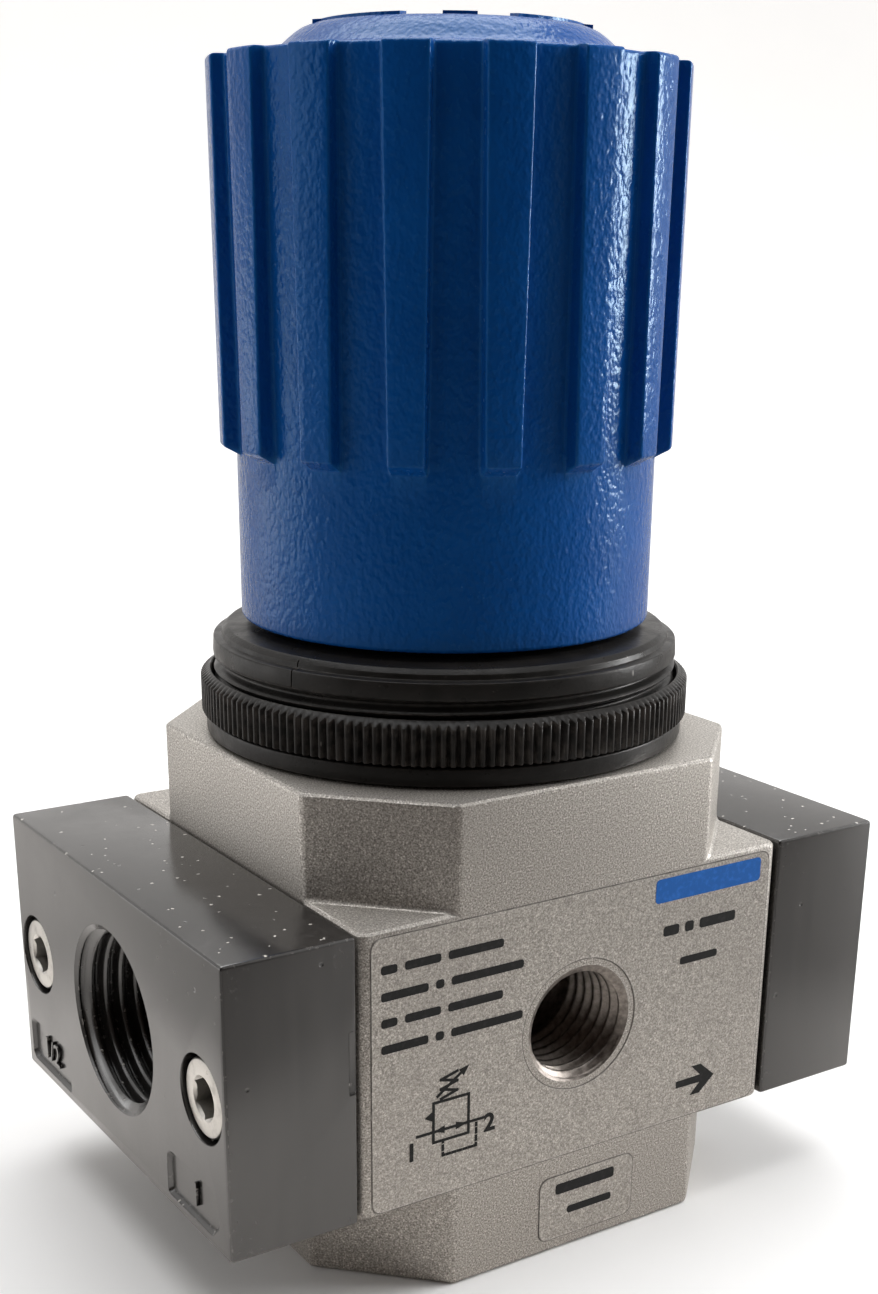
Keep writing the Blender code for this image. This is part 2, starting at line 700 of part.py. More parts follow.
def make_spindle(finish):
    """Threaded below, a thrust flange under the tower's roof, and a hexagon above for the knob."""
    flange_low = THRUST_FLANGE_HIGH - 3.0 * MM
    neck_radius = 6.2 * MM
    hex_low = 106.6 * MM
    hex_high = 117.0 * MM
    spindle = turned("spindle", [
        (0.0, hex_low),
        (neck_radius, hex_low),
        (neck_radius, THRUST_FLANGE_HIGH),
        (THRUST_FLANGE_RADIUS, THRUST_FLANGE_HIGH),
        (THRUST_FLANGE_RADIUS, flange_low),
        (SPINDLE_RADIUS, flange_low),
        (SPINDLE_RADIUS, SPINDLE_BOTTOM + 0.8 * MM),
        (SPINDLE_RADIUS - 0.8 * MM, SPINDLE_BOTTOM),
        (0.0, SPINDLE_BOTTOM),
    ], finish, steps=SMALL_STEPS)
    sunk = 1 * MM
    hexagon = drill(
        "spindle_hexagon", hex_radius(HEX_ACROSS), (0.0, 0.0, hex_low - sunk), hex_high - hex_low + sunk,
        steps=6,
    )
    combine(spindle, hexagon, 'UNION')
    groove_radius = 3.7 * MM
    groove_low = DETENT_HEIGHT - 0.7 * MM
    groove_high = DETENT_HEIGHT + 0.7 * MM
    groove = turned("detent_groove", [
        (groove_radius, groove_high),
        (HEX_ACROSS, groove_high),
        (HEX_ACROSS, groove_low),
        (groove_radius, groove_low),
    ], ring=True, steps=SMALL_STEPS)
    combine(spindle, groove)


def make_thrust_washer(finish):
    bore = 6.6 * MM
    outer = THRUST_FLANGE_RADIUS + 0.5 * MM
    high = TOWER_ROOF - GAP
    low = THRUST_FLANGE_HIGH + GAP
    turned(
        "thrust_washer", [(bore, high), (outer, high), (outer, low), (bore, low)], finish,
        ring=True, steps=SMALL_STEPS,
    )


def make_detent_ring(finish):
    ring = seal("detent_ring", finish, 4.5 * MM, 0.4 * MM, SMALL_STEPS)
    ring.location.z = DETENT_HEIGHT


def make_spring_nut(finish):
    """Nut with a centring boss below and two ears that slide in the tower's slots."""
    nut = turned("spring_nut", [
        (0.0, NUT_HIGH),
        (NUT_RADIUS, NUT_HIGH),
        (NUT_RADIUS, NUT_LOW),
        (NUT_BOSS_RADIUS, NUT_LOW),
        (NUT_BOSS_RADIUS, NUT_BOSS_LOW),
        (0.0, NUT_BOSS_LOW),
    ], finish)
    combine(nut, block(
        "nut_ears", (-EAR_RADIUS, -EAR_WIDTH / 2, NUT_LOW + 1 * MM),
        (EAR_RADIUS, EAR_WIDTH / 2, NUT_HIGH - 1 * MM),
    ), 'UNION')
    combine(nut, drill(
        "nut_bore", SPINDLE_RADIUS + GAP, (0.0, 0.0, NUT_BOSS_LOW - 1 * MM),
        NUT_HIGH - NUT_BOSS_LOW + 2 * MM, steps=SMALL_STEPS,
    ))


# ---------------------------------------------------------------- diaphragm and valve


def make_spring_plate(finish):
    """Disc under the main spring, clamped on the diaphragm, with a boss inside the spring."""
    bore = RELIEF_STUB_RADIUS + GAP
    boss_radius = NUT_BOSS_RADIUS
    disc_radius = 13.0 * MM
    edge = 0.8 * MM
    turned("spring_plate", [
        (bore, PLATE_BOSS_HIGH),
        (boss_radius - 0.5 * MM, PLATE_BOSS_HIGH),
        (boss_radius, PLATE_BOSS_HIGH - 0.5 * MM),
        (boss_radius, PLATE_HIGH),
        (disc_radius, PLATE_HIGH),
        (disc_radius, PLATE_LOW + edge),
        (disc_radius - edge, PLATE_LOW),
        (bore, PLATE_LOW),
    ], finish, ring=True)


def make_diaphragm(finish):
    """Moulded rubber sheet: clamped rim, one rolled convolution and a flat centre with a hole."""
    low = POCKET_FLOOR + GAP
    high = PLATE_LOW - GAP
    middle_low = low + 0.2 * MM
    hole = RELIEF_STUB_RADIUS + 0.4 * MM
    outer = POCKET_RADIUS - 0.5 * MM
    roll_centre = 13.4 * MM
    roll = 1.9 * MM
    steps = 4
    under = [
        (roll_centre + roll * math.cos(math.pi * i / steps), low - roll * math.sin(math.pi * i / steps))
        for i in range(steps + 1)
    ]
    inside = roll - 0.8 * MM
    above = [
        (roll_centre + inside * math.cos(math.pi * i / steps), high - inside * math.sin(math.pi * i / steps))
        for i in range(steps, -1, -1)
    ]
    profile = [(hole, high), *above, (outer, high), (outer, low), *under, (hole, middle_low)]
    turned("diaphragm", profile, finish, ring=True)


def make_relief_seat(finish):
    """Disc under the diaphragm with a hollow stub through it; the poppet's tip closes the hole."""
    disc_radius = 10.4 * MM
    disc_high = POCKET_FLOOR + 0.2 * MM
    stub_high = PLATE_BOSS_HIGH - 1.5 * MM
    edge = 1.0 * MM
    turned("relief_seat", [
        (RELIEF_HOLE, stub_high),
        (RELIEF_STUB_RADIUS, stub_high),
        (RELIEF_STUB_RADIUS, disc_high),
        (disc_radius, disc_high),
        (disc_radius, RELIEF_LOW + edge),
        (disc_radius - edge, RELIEF_LOW),
        (RELIEF_HOLE, RELIEF_LOW),
    ], finish, ring=True, steps=SMALL_STEPS)


def make_seat_ring(finish):
    """Seat pressed into the web, with a seal groove round it and a raised sealing edge facing down."""
    high = WEB_HIGH - GAP
    low = WEB_LOW + GAP
    outer = SEAT_BORE - GAP
    groove_radius = 7.15 * MM
    groove_high = 27.5 * MM
    groove_low = 25.9 * MM
    turned("seat_ring", [
        (SEAT_HOLE, high),
        (outer, high),
        (outer, groove_high),
        (groove_radius, groove_high),
        (groove_radius, groove_low),
        (outer, groove_low),
        (outer, low),
        (SEAT_HOLE + 1.0 * MM, low),
        (SEAT_HOLE + 0.6 * MM, SEAT_EDGE),
        (SEAT_HOLE, SEAT_EDGE),
    ], finish, ring=True, steps=SMALL_STEPS)


def make_poppet(finish):
    """Stem up through the seat, disc under it and a grooved guide stem down into the plug."""
    groove_radius = 1.6 * MM
    groove_high = 7.9 * MM
    groove_low = 6.7 * MM
    turned("poppet", [
        (0.0, POPPET_TOP),
        (1.1 * MM, POPPET_TOP - 0.2 * MM),
        (POPPET_STEM_RADIUS, POPPET_TOP - 1.0 * MM),
        (POPPET_STEM_RADIUS, POPPET_DISC_HIGH),
        (POPPET_DISC_RADIUS, POPPET_DISC_HIGH),
        (POPPET_DISC_RADIUS, POPPET_DISC_LOW + 1.4 * MM),
        (POPPET_DISC_RADIUS - 1.6 * MM, POPPET_DISC_LOW),
        (POPPET_GUIDE_RADIUS, POPPET_DISC_LOW),
        (POPPET_GUIDE_RADIUS, groove_high),
        (groove_radius, groove_high),
        (groove_radius, groove_low),
        (POPPET_GUIDE_RADIUS, groove_low),
        (POPPET_GUIDE_RADIUS, POPPET_BOTTOM),
        (0.0, POPPET_BOTTOM),
    ], finish, steps=SMALL_STEPS)


def make_poppet_seal(finish):
    bore = POPPET_STEM_RADIUS + GAP
    outer = POPPET_DISC_RADIUS - 0.2 * MM
    low = POPPET_DISC_HIGH + GAP
    high = low + 2.0 * MM
    turned(
        "poppet_seal", [(bore, high), (outer, high), (outer, low), (bore, low)], finish,
        ring=True, steps=SMALL_STEPS,
    )


def make_bottom_plug(finish):
    """Screw plug that closes the body from below, holds the return spring and guides the poppet."""
    bottom = 0.4 * MM
    head_radius = PLUG_RECESS_RADIUS - 0.4 * MM
    head_high = PLUG_RECESS_DEPTH - GAP
    shank_radius = PLUG_BORE - GAP
    groove_radius = 10.1 * MM
    groove_high = 10.4 * MM
    guide_bore = POPPET_GUIDE_RADIUS + GAP
    guide_low = 4.3 * MM
    spring_pocket = 5.4 * MM
    plug = turned("bottom_plug", [
        (0.0, guide_low),
        (guide_bore, guide_low),
        (guide_bore, PLUG_FLOOR),
        (spring_pocket, PLUG_FLOOR),
        (spring_pocket, PLUG_TOP + 0.1 * MM),
        (shank_radius - 0.6 * MM, PLUG_TOP - 0.3 * MM),
        (shank_radius, PLUG_TOP - 0.7 * MM),
        (shank_radius, groove_high),
        (groove_radius, groove_high),
        (groove_radius, PLUG_FLOOR),
        (shank_radius, PLUG_FLOOR),
        (shank_radius, head_high),
        (head_radius, head_high),
        (head_radius, bottom),
        (0.0, bottom),
    ], finish)
    socket_across = 8.0 * MM
    socket_depth = 3.0 * MM
    combine(plug, drill(
        "bottom_plug_socket", hex_radius(socket_across), (0.0, 0.0, -1 * MM), socket_depth + 1 * MM, steps=6,
    ))


def make_small_seals(rubber):
    """O-rings about Z: mean radius, section radius, height and steps round."""
    for name, radius, section, height, steps in (
        ("seat_seal", 7.95 * MM, 0.5 * MM, 26.7 * MM, 24),
        ("plug_seal", 11.0 * MM, 0.65 * MM, 9.2 * MM, 24),
        ("stem_seal", 2.25 * MM, 0.35 * MM, 7.3 * MM, 12),
    ):
        seal(name, rubber, radius, section, steps).location.z = height


# ---------------------------------------------------------------- assembly


def build():
    global parts, cutters, assembly
    start_empty()
    parts = new_collection("air_pressure_regulator")
    cutters = new_collection("cutters")
    assembly = bpy.data.objects.new("regulator_axis", None)
    parts.objects.link(assembly)

    cast = material("cast_metal", (0.56, 0.545, 0.525), 0.42, 0.6)
    black_metal = material("black_metal", (0.03, 0.03, 0.032), 0.22, 0.3)
    blue = material("blue_plastic", (0.03, 0.17, 0.5), 0.4)
    black_plastic = material("black_plastic", (0.02, 0.02, 0.021), 0.45)
    zinc = material("zinc_steel", (0.7, 0.7, 0.7), 0.3, 1.0)
    steel = material("spring_steel", (0.45, 0.45, 0.46), 0.35, 1.0)
    brass = material("brass", (0.72, 0.53, 0.22), 0.3, 1.0)
    rubber = material("rubber", (0.02, 0.02, 0.02), 0.7)
    film = material("label_film", (0.6, 0.59, 0.57), 0.45, 0.3)
    white_plastic = material("white_plastic", (0.8, 0.79, 0.74), 0.4)

    make_body(cast)
    make_labels(film)
    for port, side in (("inlet", -1), ("outlet", 1)):
        make_plate(f"{port}_plate", side, black_metal)
        make_port_seal(f"{port}_seal", side, rubber)
        make_plate_screw(f"{port}_screw_front", side, -PLATE_SCREW_Y, zinc)
        make_plate_screw(f"{port}_screw_rear", side, PLATE_SCREW_Y, zinc)
    make_gauge_plug(zinc, rubber)

    make_bonnet(black_plastic)
    make_ring_nut(black_plastic)
    make_knob(blue)
    make_spindle(steel)
    make_thrust_washer(white_plastic)
    make_detent_ring(steel)
    make_spring_nut(brass)
    coil("main_spring", steel, MAIN_MEAN_RADIUS, MAIN_WIRE, PLATE_HIGH + GAP, NUT_LOW - GAP, MAIN_TURNS)

    make_spring_plate(zinc)
    make_diaphragm(rubber)
    make_relief_seat(brass)
    make_seat_ring(brass)
    make_poppet(brass)
    make_poppet_seal(rubber)
    coil(
        "return_spring", steel, RETURN_MEAN_RADIUS, RETURN_WIRE,
        PLUG_FLOOR + GAP, POPPET_DISC_LOW - GAP, RETURN_TURNS, 12,
    )
    make_bottom_plug(white_plastic)
    make_small_seals(rubber)
    bpy.context.view_layer.update()


build()
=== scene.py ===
"""Looks of the air pressure regulator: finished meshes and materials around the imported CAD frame."""

import json
import math

import bmesh
import bpy
from mathutils import Matrix, Vector


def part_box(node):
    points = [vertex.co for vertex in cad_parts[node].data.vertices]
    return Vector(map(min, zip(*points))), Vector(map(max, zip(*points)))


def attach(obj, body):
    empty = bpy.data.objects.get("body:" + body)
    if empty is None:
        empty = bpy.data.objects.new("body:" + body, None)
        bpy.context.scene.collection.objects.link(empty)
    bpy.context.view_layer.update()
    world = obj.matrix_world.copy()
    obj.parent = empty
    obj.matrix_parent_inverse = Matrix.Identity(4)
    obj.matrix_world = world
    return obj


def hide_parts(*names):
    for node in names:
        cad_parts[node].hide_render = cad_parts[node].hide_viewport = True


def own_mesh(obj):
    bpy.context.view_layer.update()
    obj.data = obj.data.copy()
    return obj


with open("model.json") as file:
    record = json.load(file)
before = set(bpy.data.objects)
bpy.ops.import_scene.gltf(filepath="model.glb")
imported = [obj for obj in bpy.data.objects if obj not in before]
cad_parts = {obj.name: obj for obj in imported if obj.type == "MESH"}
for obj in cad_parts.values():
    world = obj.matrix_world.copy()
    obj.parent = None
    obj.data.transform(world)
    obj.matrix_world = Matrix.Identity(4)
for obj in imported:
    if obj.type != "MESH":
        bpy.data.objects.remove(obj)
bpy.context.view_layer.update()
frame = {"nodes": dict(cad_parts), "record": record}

bpy.context.scene.view_settings.view_transform = 'Standard'

MM = 0.001

# Places and sizes from the frame
BODY_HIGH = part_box("body")[1]
HALF = BODY_HIGH.x
TOP = BODY_HIGH.z
INLET_LOW, INLET_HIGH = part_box("inlet_plate")
BLOCK_LOW, BLOCK_HIGH = INLET_LOW.z, INLET_HIGH.z
PORT_Z = (BLOCK_LOW + BLOCK_HIGH) / 2
PLATE_OUTER = -INLET_LOW.x
PLATE_INNER = -INLET_HIGH.x
KNOB_LOW, KNOB_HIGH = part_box("knob")
BONNET_LOW, BONNET_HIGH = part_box("bonnet")
RING_LOW, RING_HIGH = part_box("ring_nut")
SCREW_Y = abs(sum(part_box("inlet_screw_front")[i].y for i in (0, 1)) / 2)
LABEL_LOW, LABEL_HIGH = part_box("front_label")
ORDER_LOW, ORDER_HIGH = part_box("order_label")

# Housing details
FLAT_HALF = 16.3 * MM
EDGE = 0.6 * MM
BLOCK_CORNER = 1.2 * MM
G_HALF_THREAD = (10.48 * MM, 9.4 * MM, 1.814 * MM)       # major radius, minor radius, pitch
G_QUARTER_THREAD = (6.58 * MM, 5.85 * MM, 1.55 * MM)
GAUGE_DEPTH = 11.5 * MM

# Knob details
RIBS = 16
RIB_PHASE = math.radians(2.7)
SKIRT_RADIUS = 22.7 * MM
RIB_RADIUS = 24.5 * MM           # over the ribs at their lower ends
RIB_LOW = 86.0 * MM
RIM_RADIUS = 24.7 * MM           # over the ribs at the rim: the knob flares a little upwards
RIM_VALLEY = 23.3 * MM           # between the ribs at the rim
KNOB_RIM = 124.0 * MM
CROWN_RADIUS = 14.6 * MM         # shoulder of the crown
ARROWS_MIDDLE = -119.0           # degrees, between the tails of the two arrows

# Marks and films
FILM = 0.08 * MM
PRINT_LIFT = 0.03 * MM
PRINT_THICKNESS = 0.02 * MM
LABEL_CUTOUT = 7.65 * MM         # radius of the front film's opening round the gauge port
FILM_EDGE_HEIGHT = 0.03 * MM
FILM_EDGE_WIDTH = 0.13 * MM
MARK_HEIGHT = 3.9 * MM
MARK_FACE = PLATE_OUTER - 0.42 * MM

# Springs: wire, mean radius, turns, the joint that squashes it and that joint's travel
SPRINGS = {
    "main_spring": (4.0 * MM, 10.3 * MM, 5.0, "spring_nut_travel", 7.55 * MM),
    "return_spring": (0.9 * MM, 4.2 * MM, 5.0, "poppet_stroke", 1.5 * MM),
}

# Stage
CAMERA_PLACE = (-0.10770, -0.16531, 0.10730)
CAMERA_TURN = (69.618, -0.620, -33.291)  # degrees
CAMERA_SHIFT = (-0.01217, 0.18986)
LENS = 49.013
SENSOR = 36.0
CAMERA_SIDE = (-0.52, -0.80, 0.30)       # the side of the surroundings that stays dim
FLOOR_FRONT = 0.27                       # light that the floor throws back in front of the object
FLOOR_LEFT = 0.57                        # the same on the left behind it
BACKDROP_GLOW = 0.66


# ---------------------------------------------------------------- mesh helpers


def link(name, mesh, finish=None):
    obj = bpy.data.objects.new(name, mesh)
    bpy.context.scene.collection.objects.link(obj)
    if finish is not None:
        mesh.materials.clear()
        mesh.materials.append(finish)
    return obj


def paint(obj, *finishes):
    obj.data.materials.clear()
    for finish in finishes:
        obj.data.materials.append(finish)


def from_bmesh(name, work, finish=None):
    mesh = bpy.data.meshes.new(name)
    bmesh.ops.recalc_face_normals(work, faces=work.faces)
    work.to_mesh(mesh)
    work.free()
    return link(name, mesh, finish)


def smooth(obj, angle=32.0):
    obj.data.shade_smooth()
    obj.data.set_sharp_from_angle(angle=math.radians(angle))
    return obj


def bake(obj):
    """Applies an object's modifiers and drops its tools."""
    tools = [m.object for m in obj.modifiers if m.type == 'BOOLEAN']
    evaluated = obj.evaluated_get(bpy.context.evaluated_depsgraph_get())
    mesh = bpy.data.meshes.new_from_object(evaluated)
    obj.modifiers.clear()
    obj.data = mesh
    for tool in tools:
        bpy.data.objects.remove(tool)
    return obj


def cut(obj, *tools, operation='DIFFERENCE'):
    for tool in tools:
        modifier = obj.modifiers.new(tool.name, 'BOOLEAN')
        modifier.operation = operation
        modifier.solver = 'EXACT'
        modifier.object = tool
    return bake(obj)


def place(obj, matrix):
    """Moves a mesh's own points; a mirrored matrix also turns its faces over."""
    obj.data.transform(matrix)
    if matrix.determinant() < 0.0:
        obj.data.flip_normals()
    obj.data.update()
    return obj


def along(axis, x=0.0, y=0.0, z=0.0):
    """Matrix that turns +Z to +X, -X, +Y or -Y and moves the origin."""
    turns = {
        "+X": Matrix.Rotation(math.pi / 2, 4, 'Y'),
        "-X": Matrix.Rotation(-math.pi / 2, 4, 'Y'),
        "+Y": Matrix.Rotation(-math.pi / 2, 4, 'X'),
        "-Y": Matrix.Rotation(math.pi / 2, 4, 'X'),
        "+Z": Matrix.Identity(4),
    }
    return Matrix.Translation((x, y, z)) @ turns[axis]


def filleted(points, closed=False, steps=3):
    """Rounds the corners of a profile; a point is (radius, height) or (radius, height, fillet)."""
    rounded = []
    count = len(points)
    for i, point in enumerate(points):
        here = Vector(point[:2])
        size = point[2] if len(point) > 2 else 0.0
        ends = not closed and i in (0, count - 1)
        if size <= 0.0 or ends:
            rounded.append(here)
            continue
        before = (Vector(points[i - 1][:2]) - here).normalized()
        after = (Vector(points[(i + 1) % count][:2]) - here).normalized()
        half_angle = before.angle(after) / 2
        if half_angle > math.radians(88.0):
            rounded.append(here)
            continue
        back = size / math.tan(half_angle)
        centre = here + (before + after).normalized() * (size / math.sin(half_angle))
        first = here + before * back - centre
        last = here + after * back - centre
        sweep = first.angle_signed(last)
        for k in range(steps + 1):
            turn = -sweep * k / steps
            c, s = math.cos(turn), math.sin(turn)
            rounded.append(centre + Vector((c * first.x - s * first.y, s * first.x + c * first.y)))
    return [(p.x, p.y) for p in rounded]


def rings(name, rows, finish=None, ring=False):
    """A closed surface through rows of points. Each row goes once round; a row of one point is a pole."""
    work = bmesh.new()
    made = [[work.verts.new(p) for p in row] for row in rows]
    pairs = list(zip(made[:-1], made[1:]))
    if ring:
        pairs.append((made[-1], made[0]))
    for a, b in pairs:
        count = max(len(a), len(b))
        for i in range(count):
            j = (i + 1) % count
            if len(a) == 1:
                work.faces.new((a[0], b[i], b[j]))
            elif len(b) == 1:
                work.faces.new((a[i], b[0], a[j]))
            else:
                work.faces.new((a[i], b[i], b[j], a[j]))
    return from_bmesh(name, work, finish)


def loft(name, rows, finish=None):
    """A solid through closed rows of equally many points, with flat ends."""
    work = bmesh.new()
    made = [[work.verts.new(p) for p in row] for row in rows]
    for a, b in zip(made[:-1], made[1:]):
        for i in range(len(a)):
            j = (i + 1) % len(a)
            work.faces.new((a[i], a[j], b[j], b[i]))
    work.faces.new(list(reversed(made[0])))
    work.faces.new(made[-1])
    return from_bmesh(name, work, finish)


def circle(radius, height, segments):
    if radius < 1e-7:
        return [(0.0, 0.0, height)]
    return [
        (radius * math.cos(math.tau * i / segments), radius * math.sin(math.tau * i / segments), height)
        for i in range(segments)
    ]


def turned(name, profile, finish=None, ring=False, segments=96, steps=3):
    """A turned piece about Z from a profile that runs down its outer side."""
    points = filleted(profile, closed=ring, steps=steps)
    obj = rings(name, [circle(r, z, segments) for r, z in points], finish, ring)
    return smooth(obj)


def rod(name, radius, low, high, segments=64):
    """A plain cylinder tool about Z."""
    return turned(name, [(0.0, high), (radius, high), (radius, low), (0.0, low)], segments=segments)


def box(name, low, high, finish=None, edge=0.0, steps=3):
    work = bmesh.new()
    size = [b - a for a, b in zip(low, high)]
    middle = [(a + b) / 2 for a, b in zip(low, high)]
    bmesh.ops.create_cube(
        work, size=1.0, matrix=Matrix.Translation(middle) @ Matrix.Diagonal((*size, 1.0)),
    )
    if edge:
        bmesh.ops.bevel(
            work, geom=work.edges[:], offset=edge, segments=steps, profile=0.5, affect='EDGES',
            clamp_overlap=True,
        )
    return from_bmesh(name, work, finish)


def prism(name, outline, low, high, finish=None, edge=0.0):
    """An outline in XY extruded between two heights, its edges rounded."""
    work = bmesh.new()
    lower = [work.verts.new((x, y, low)) for x, y in outline]
    upper = [work.verts.new((x, y, high)) for x, y in outline]
    work.faces.new(list(reversed(lower)))
    work.faces.new(upper)
    count = len(outline)
    for i in range(count):
        j = (i + 1) % count
        work.faces.new((lower[i], lower[j], upper[j], upper[i]))
    if edge:
        rims = [e for e in work.edges if len({round(v.co.z, 7) for v in e.verts}) == 1]
        bmesh.ops.bevel(work, geom=rims, offset=edge, segments=2, profile=0.5, affect='EDGES')
    return from_bmesh(name, work, finish)


def thread(name, major, minor, pitch, low, high, segments=72, rows=10):
    """A helical thread form about Z, used as a tap or joined to a collar."""
    depth = major - minor
    turns = int(math.ceil((high - low) / pitch)) + 1
    shape = [0.5 - 0.5 * math.cos(math.tau * k / rows) for k in range(rows)]
    work = bmesh.new()
    grid = []
    for k in range(turns * rows + 1):
        radius = minor + depth * shape[k % rows]
        grid.append([
            work.verts.new((
                radius * math.cos(math.tau * i / segments),
                radius * math.sin(math.tau * i / segments),
                low + pitch * (k / rows + i / segments - 1.0),
            ))
            for i in range(segments)
        ])
    last = turns * rows
    for k in range(last):
        for i in range(segments - 1):
            work.faces.new((grid[k][i], grid[k][i + 1], grid[k + 1][i + 1], grid[k + 1][i]))
        if k + rows + 1 <= last:
            work.faces.new((
                grid[k][segments - 1], grid[k + rows][0], grid[k + rows + 1][0], grid[k + 1][segments - 1],
            ))
    bottom = work.verts.new((0.0, 0.0, low - pitch))
    lower = grid[0] + [grid[rows - k][0] for k in range(rows)]
    for a, b in zip(lower, lower[1:] + lower[:1]):
        work.faces.new((a, bottom, b))
    top = work.verts.new((0.0, 0.0, low + pitch * turns))
    upper = [grid[last][0]] + grid[last][1:] + [grid[last - k][segments - 1] for k in range(1, rows + 1)]
    for a, b in zip(upper, upper[1:] + upper[:1]):
        work.faces.new((b, top, a))
    return smooth(from_bmesh(name, work), 60.0)


# ---------------------------------------------------------------- material helpers


class Nodes:
    """Builds one material's node tree with short calls."""

    def __init__(self, name):
        self.material = bpy.data.materials.new(name)
        self.material.use_nodes = True
        self.tree = self.material.node_tree
        self.shader = self.tree.nodes["Principled BSDF"]
        self.place = self.tree.nodes.new("ShaderNodeTexCoord").outputs["Object"]

    def add(self, kind, settings=None, **inputs):
        node = self.tree.nodes.new("ShaderNode" + kind)
        for key, value in (settings or {}).items():
            setattr(node, key, value)
        for key, value in inputs.items():
            self.feed(node.inputs[key.replace("_", " ")], value)
        return node

    def feed(self, socket, value):
        if isinstance(value, bpy.types.NodeSocket):
            self.tree.links.new(value, socket)
        else:
            socket.default_value = value

    def set(self, **inputs):
        for key, value in inputs.items():
            self.feed(self.shader.inputs[key.replace("_", " ")], value)

    def noise(self, scale, detail=2.0, roughness=0.5, place=None):
        node = self.add(
            "TexNoise", Vector=place or self.place, Scale=scale, Detail=detail, Roughness=roughness,
        )
        return node.outputs["Fac"]

    def cells(self, scale, feature='F1', place=None):
        node = self.add("TexVoronoi", {"feature": feature}, Vector=place or self.place, Scale=scale)
        return node

    def ramp(self, value, *stops):
        node = self.add("ValToRGB", Fac=value)
        elements = node.color_ramp.elements
        while len(elements) < len(stops):
            elements.new(0.5)
        for element, (position, colour) in zip(elements, stops):
            element.position = position
            element.color = colour if len(colour) == 4 else (*colour, 1.0)
        return node.outputs["Color"]

    def remap(self, value, low, high, new_low=0.0, new_high=1.0):
        node = self.add("MapRange", {"clamp": True})
        for index, number in enumerate((value, low, high, new_low, new_high)):
            self.feed(node.inputs[index], number)
        return node.outputs["Result"]

    def math(self, operation, a, b=0.0):
        node = self.add("Math", {"operation": operation})
        self.feed(node.inputs[0], a)
        self.feed(node.inputs[1], b)
        return node.outputs[0]

    def mix(self, amount, a, b, blend='MIX'):
        node = self.add("Mix", {"data_type": 'RGBA', "blend_type": blend})
        self.feed(node.inputs[0], amount)
        self.feed(node.inputs[6], a)
        self.feed(node.inputs[7], b)
        return node.outputs[2]

    def stretched(self, x, y, z):
        node = self.add("Mapping", Vector=self.place)
        node.inputs["Scale"].default_value = (x, y, z)
        return node.outputs["Vector"]

    def corners(self, distance, low=0.35, high=0.95):
        """Ambient occlusion mask used to paint shade: 0 deep in corners and holes, 1 on open surfaces."""
        node = self.add("AmbientOcclusion", {"samples": 4}, Distance=distance)
        return self.remap(node.outputs["AO"], low, high)

    def towards(self, direction):
        """Distance of a point along a horizontal direction from the object's middle."""
        node = self.add("VectorMath", {"operation": 'DOT_PRODUCT'})
        self.feed(node.inputs[0], self.place)
        node.inputs[1].default_value = direction
        return node.outputs["Value"]

    def bump(self, height, distance, strength=1.0, normal=None):
        node = self.add("Bump", Height=height, Distance=distance, Strength=strength)
        if normal is not None:
            self.feed(node.inputs["Normal"], normal)
        return node.outputs["Normal"]

    def edges(self, radius):
        """1 on rounded edges, 0 on flats."""
        bevel = self.add("Bevel", {"samples": 4}, Radius=radius)
        geometry = self.add("NewGeometry")
        dot = self.add("VectorMath", {"operation": 'DOT_PRODUCT'})
        self.feed(dot.inputs[0], bevel.outputs["Normal"])
        self.feed(dot.inputs[1], geometry.outputs["True Normal"])
        return self.remap(dot.outputs["Value"], 0.995, 0.9)


def rgb(red, green, blue):
    return (red, green, blue, 1.0)


# ---------------------------------------------------------------- materials


def cast_metal(name="cast_metal_paint", flat=0.0):
    """Warm silver-grey metallic paint: fine sparkle, small stains, lighter worn edges."""
    n = Nodes(name)
    flakes = n.noise(5200.0, 2.0, 0.7)
    tone = n.ramp(
        flakes, (0.30, (0.13, 0.12, 0.108)), (0.46, (0.35, 0.325, 0.295)),
        (0.60, (0.56, 0.53, 0.49)), (0.70, (0.95, 0.92, 0.87)),
    )
    tone = n.mix(0.45 * flat, tone, rgb(0.45, 0.425, 0.39))
    cloud = n.noise(70.0, 4.0)
    tone = n.mix(n.remap(cloud, 0.35, 0.65, 0.0, 0.2), tone, rgb(0.34, 0.315, 0.295))
    stains = n.noise(1000.0, 3.0, 0.6, n.stretched(1.0, 1.0, 0.7))
    tone = n.mix(n.remap(stains, 0.71, 0.76, 0.0, 0.4), tone, rgb(0.17, 0.15, 0.14))
    worn = n.math('MULTIPLY', n.edges(0.4 * MM), n.remap(n.noise(700.0, 3.0), 0.3, 0.6, 0.3, 1.0))
    tone = n.mix(n.math('MULTIPLY', worn, 0.6 * (1.0 - flat)), tone, rgb(0.75, 0.73, 0.70))
    n.set(Base_Color=tone, Metallic=0.62)
    n.set(Roughness=n.remap(flakes, 0.35, 0.7, 0.50, 0.36))
    n.set(Normal=n.bump(n.noise(4600.0, 3.0, 0.6), 0.025 * MM, 0.8 * (1.0 - flat)))
    return n.material


def label_film():
    """Silver-grey printed film, close to the paint but flatter."""
    return cast_metal("label_film", 0.6)


def bare_metal():
    """Bare machined aluminium inside the body's ports and bores."""
    n = Nodes("machined_aluminium")
    lines = n.noise(1500.0, 3.0, 0.6)
    tone = n.ramp(lines, (0.35, (0.17, 0.15, 0.135)), (0.7, (0.36, 0.325, 0.295)))
    n.set(Base_Color=tone, Metallic=1.0, Roughness=n.remap(lines, 0.3, 0.7, 0.34, 0.50))
    n.set(Normal=n.bump(lines, 0.012 * MM, 0.5))
    return n.material


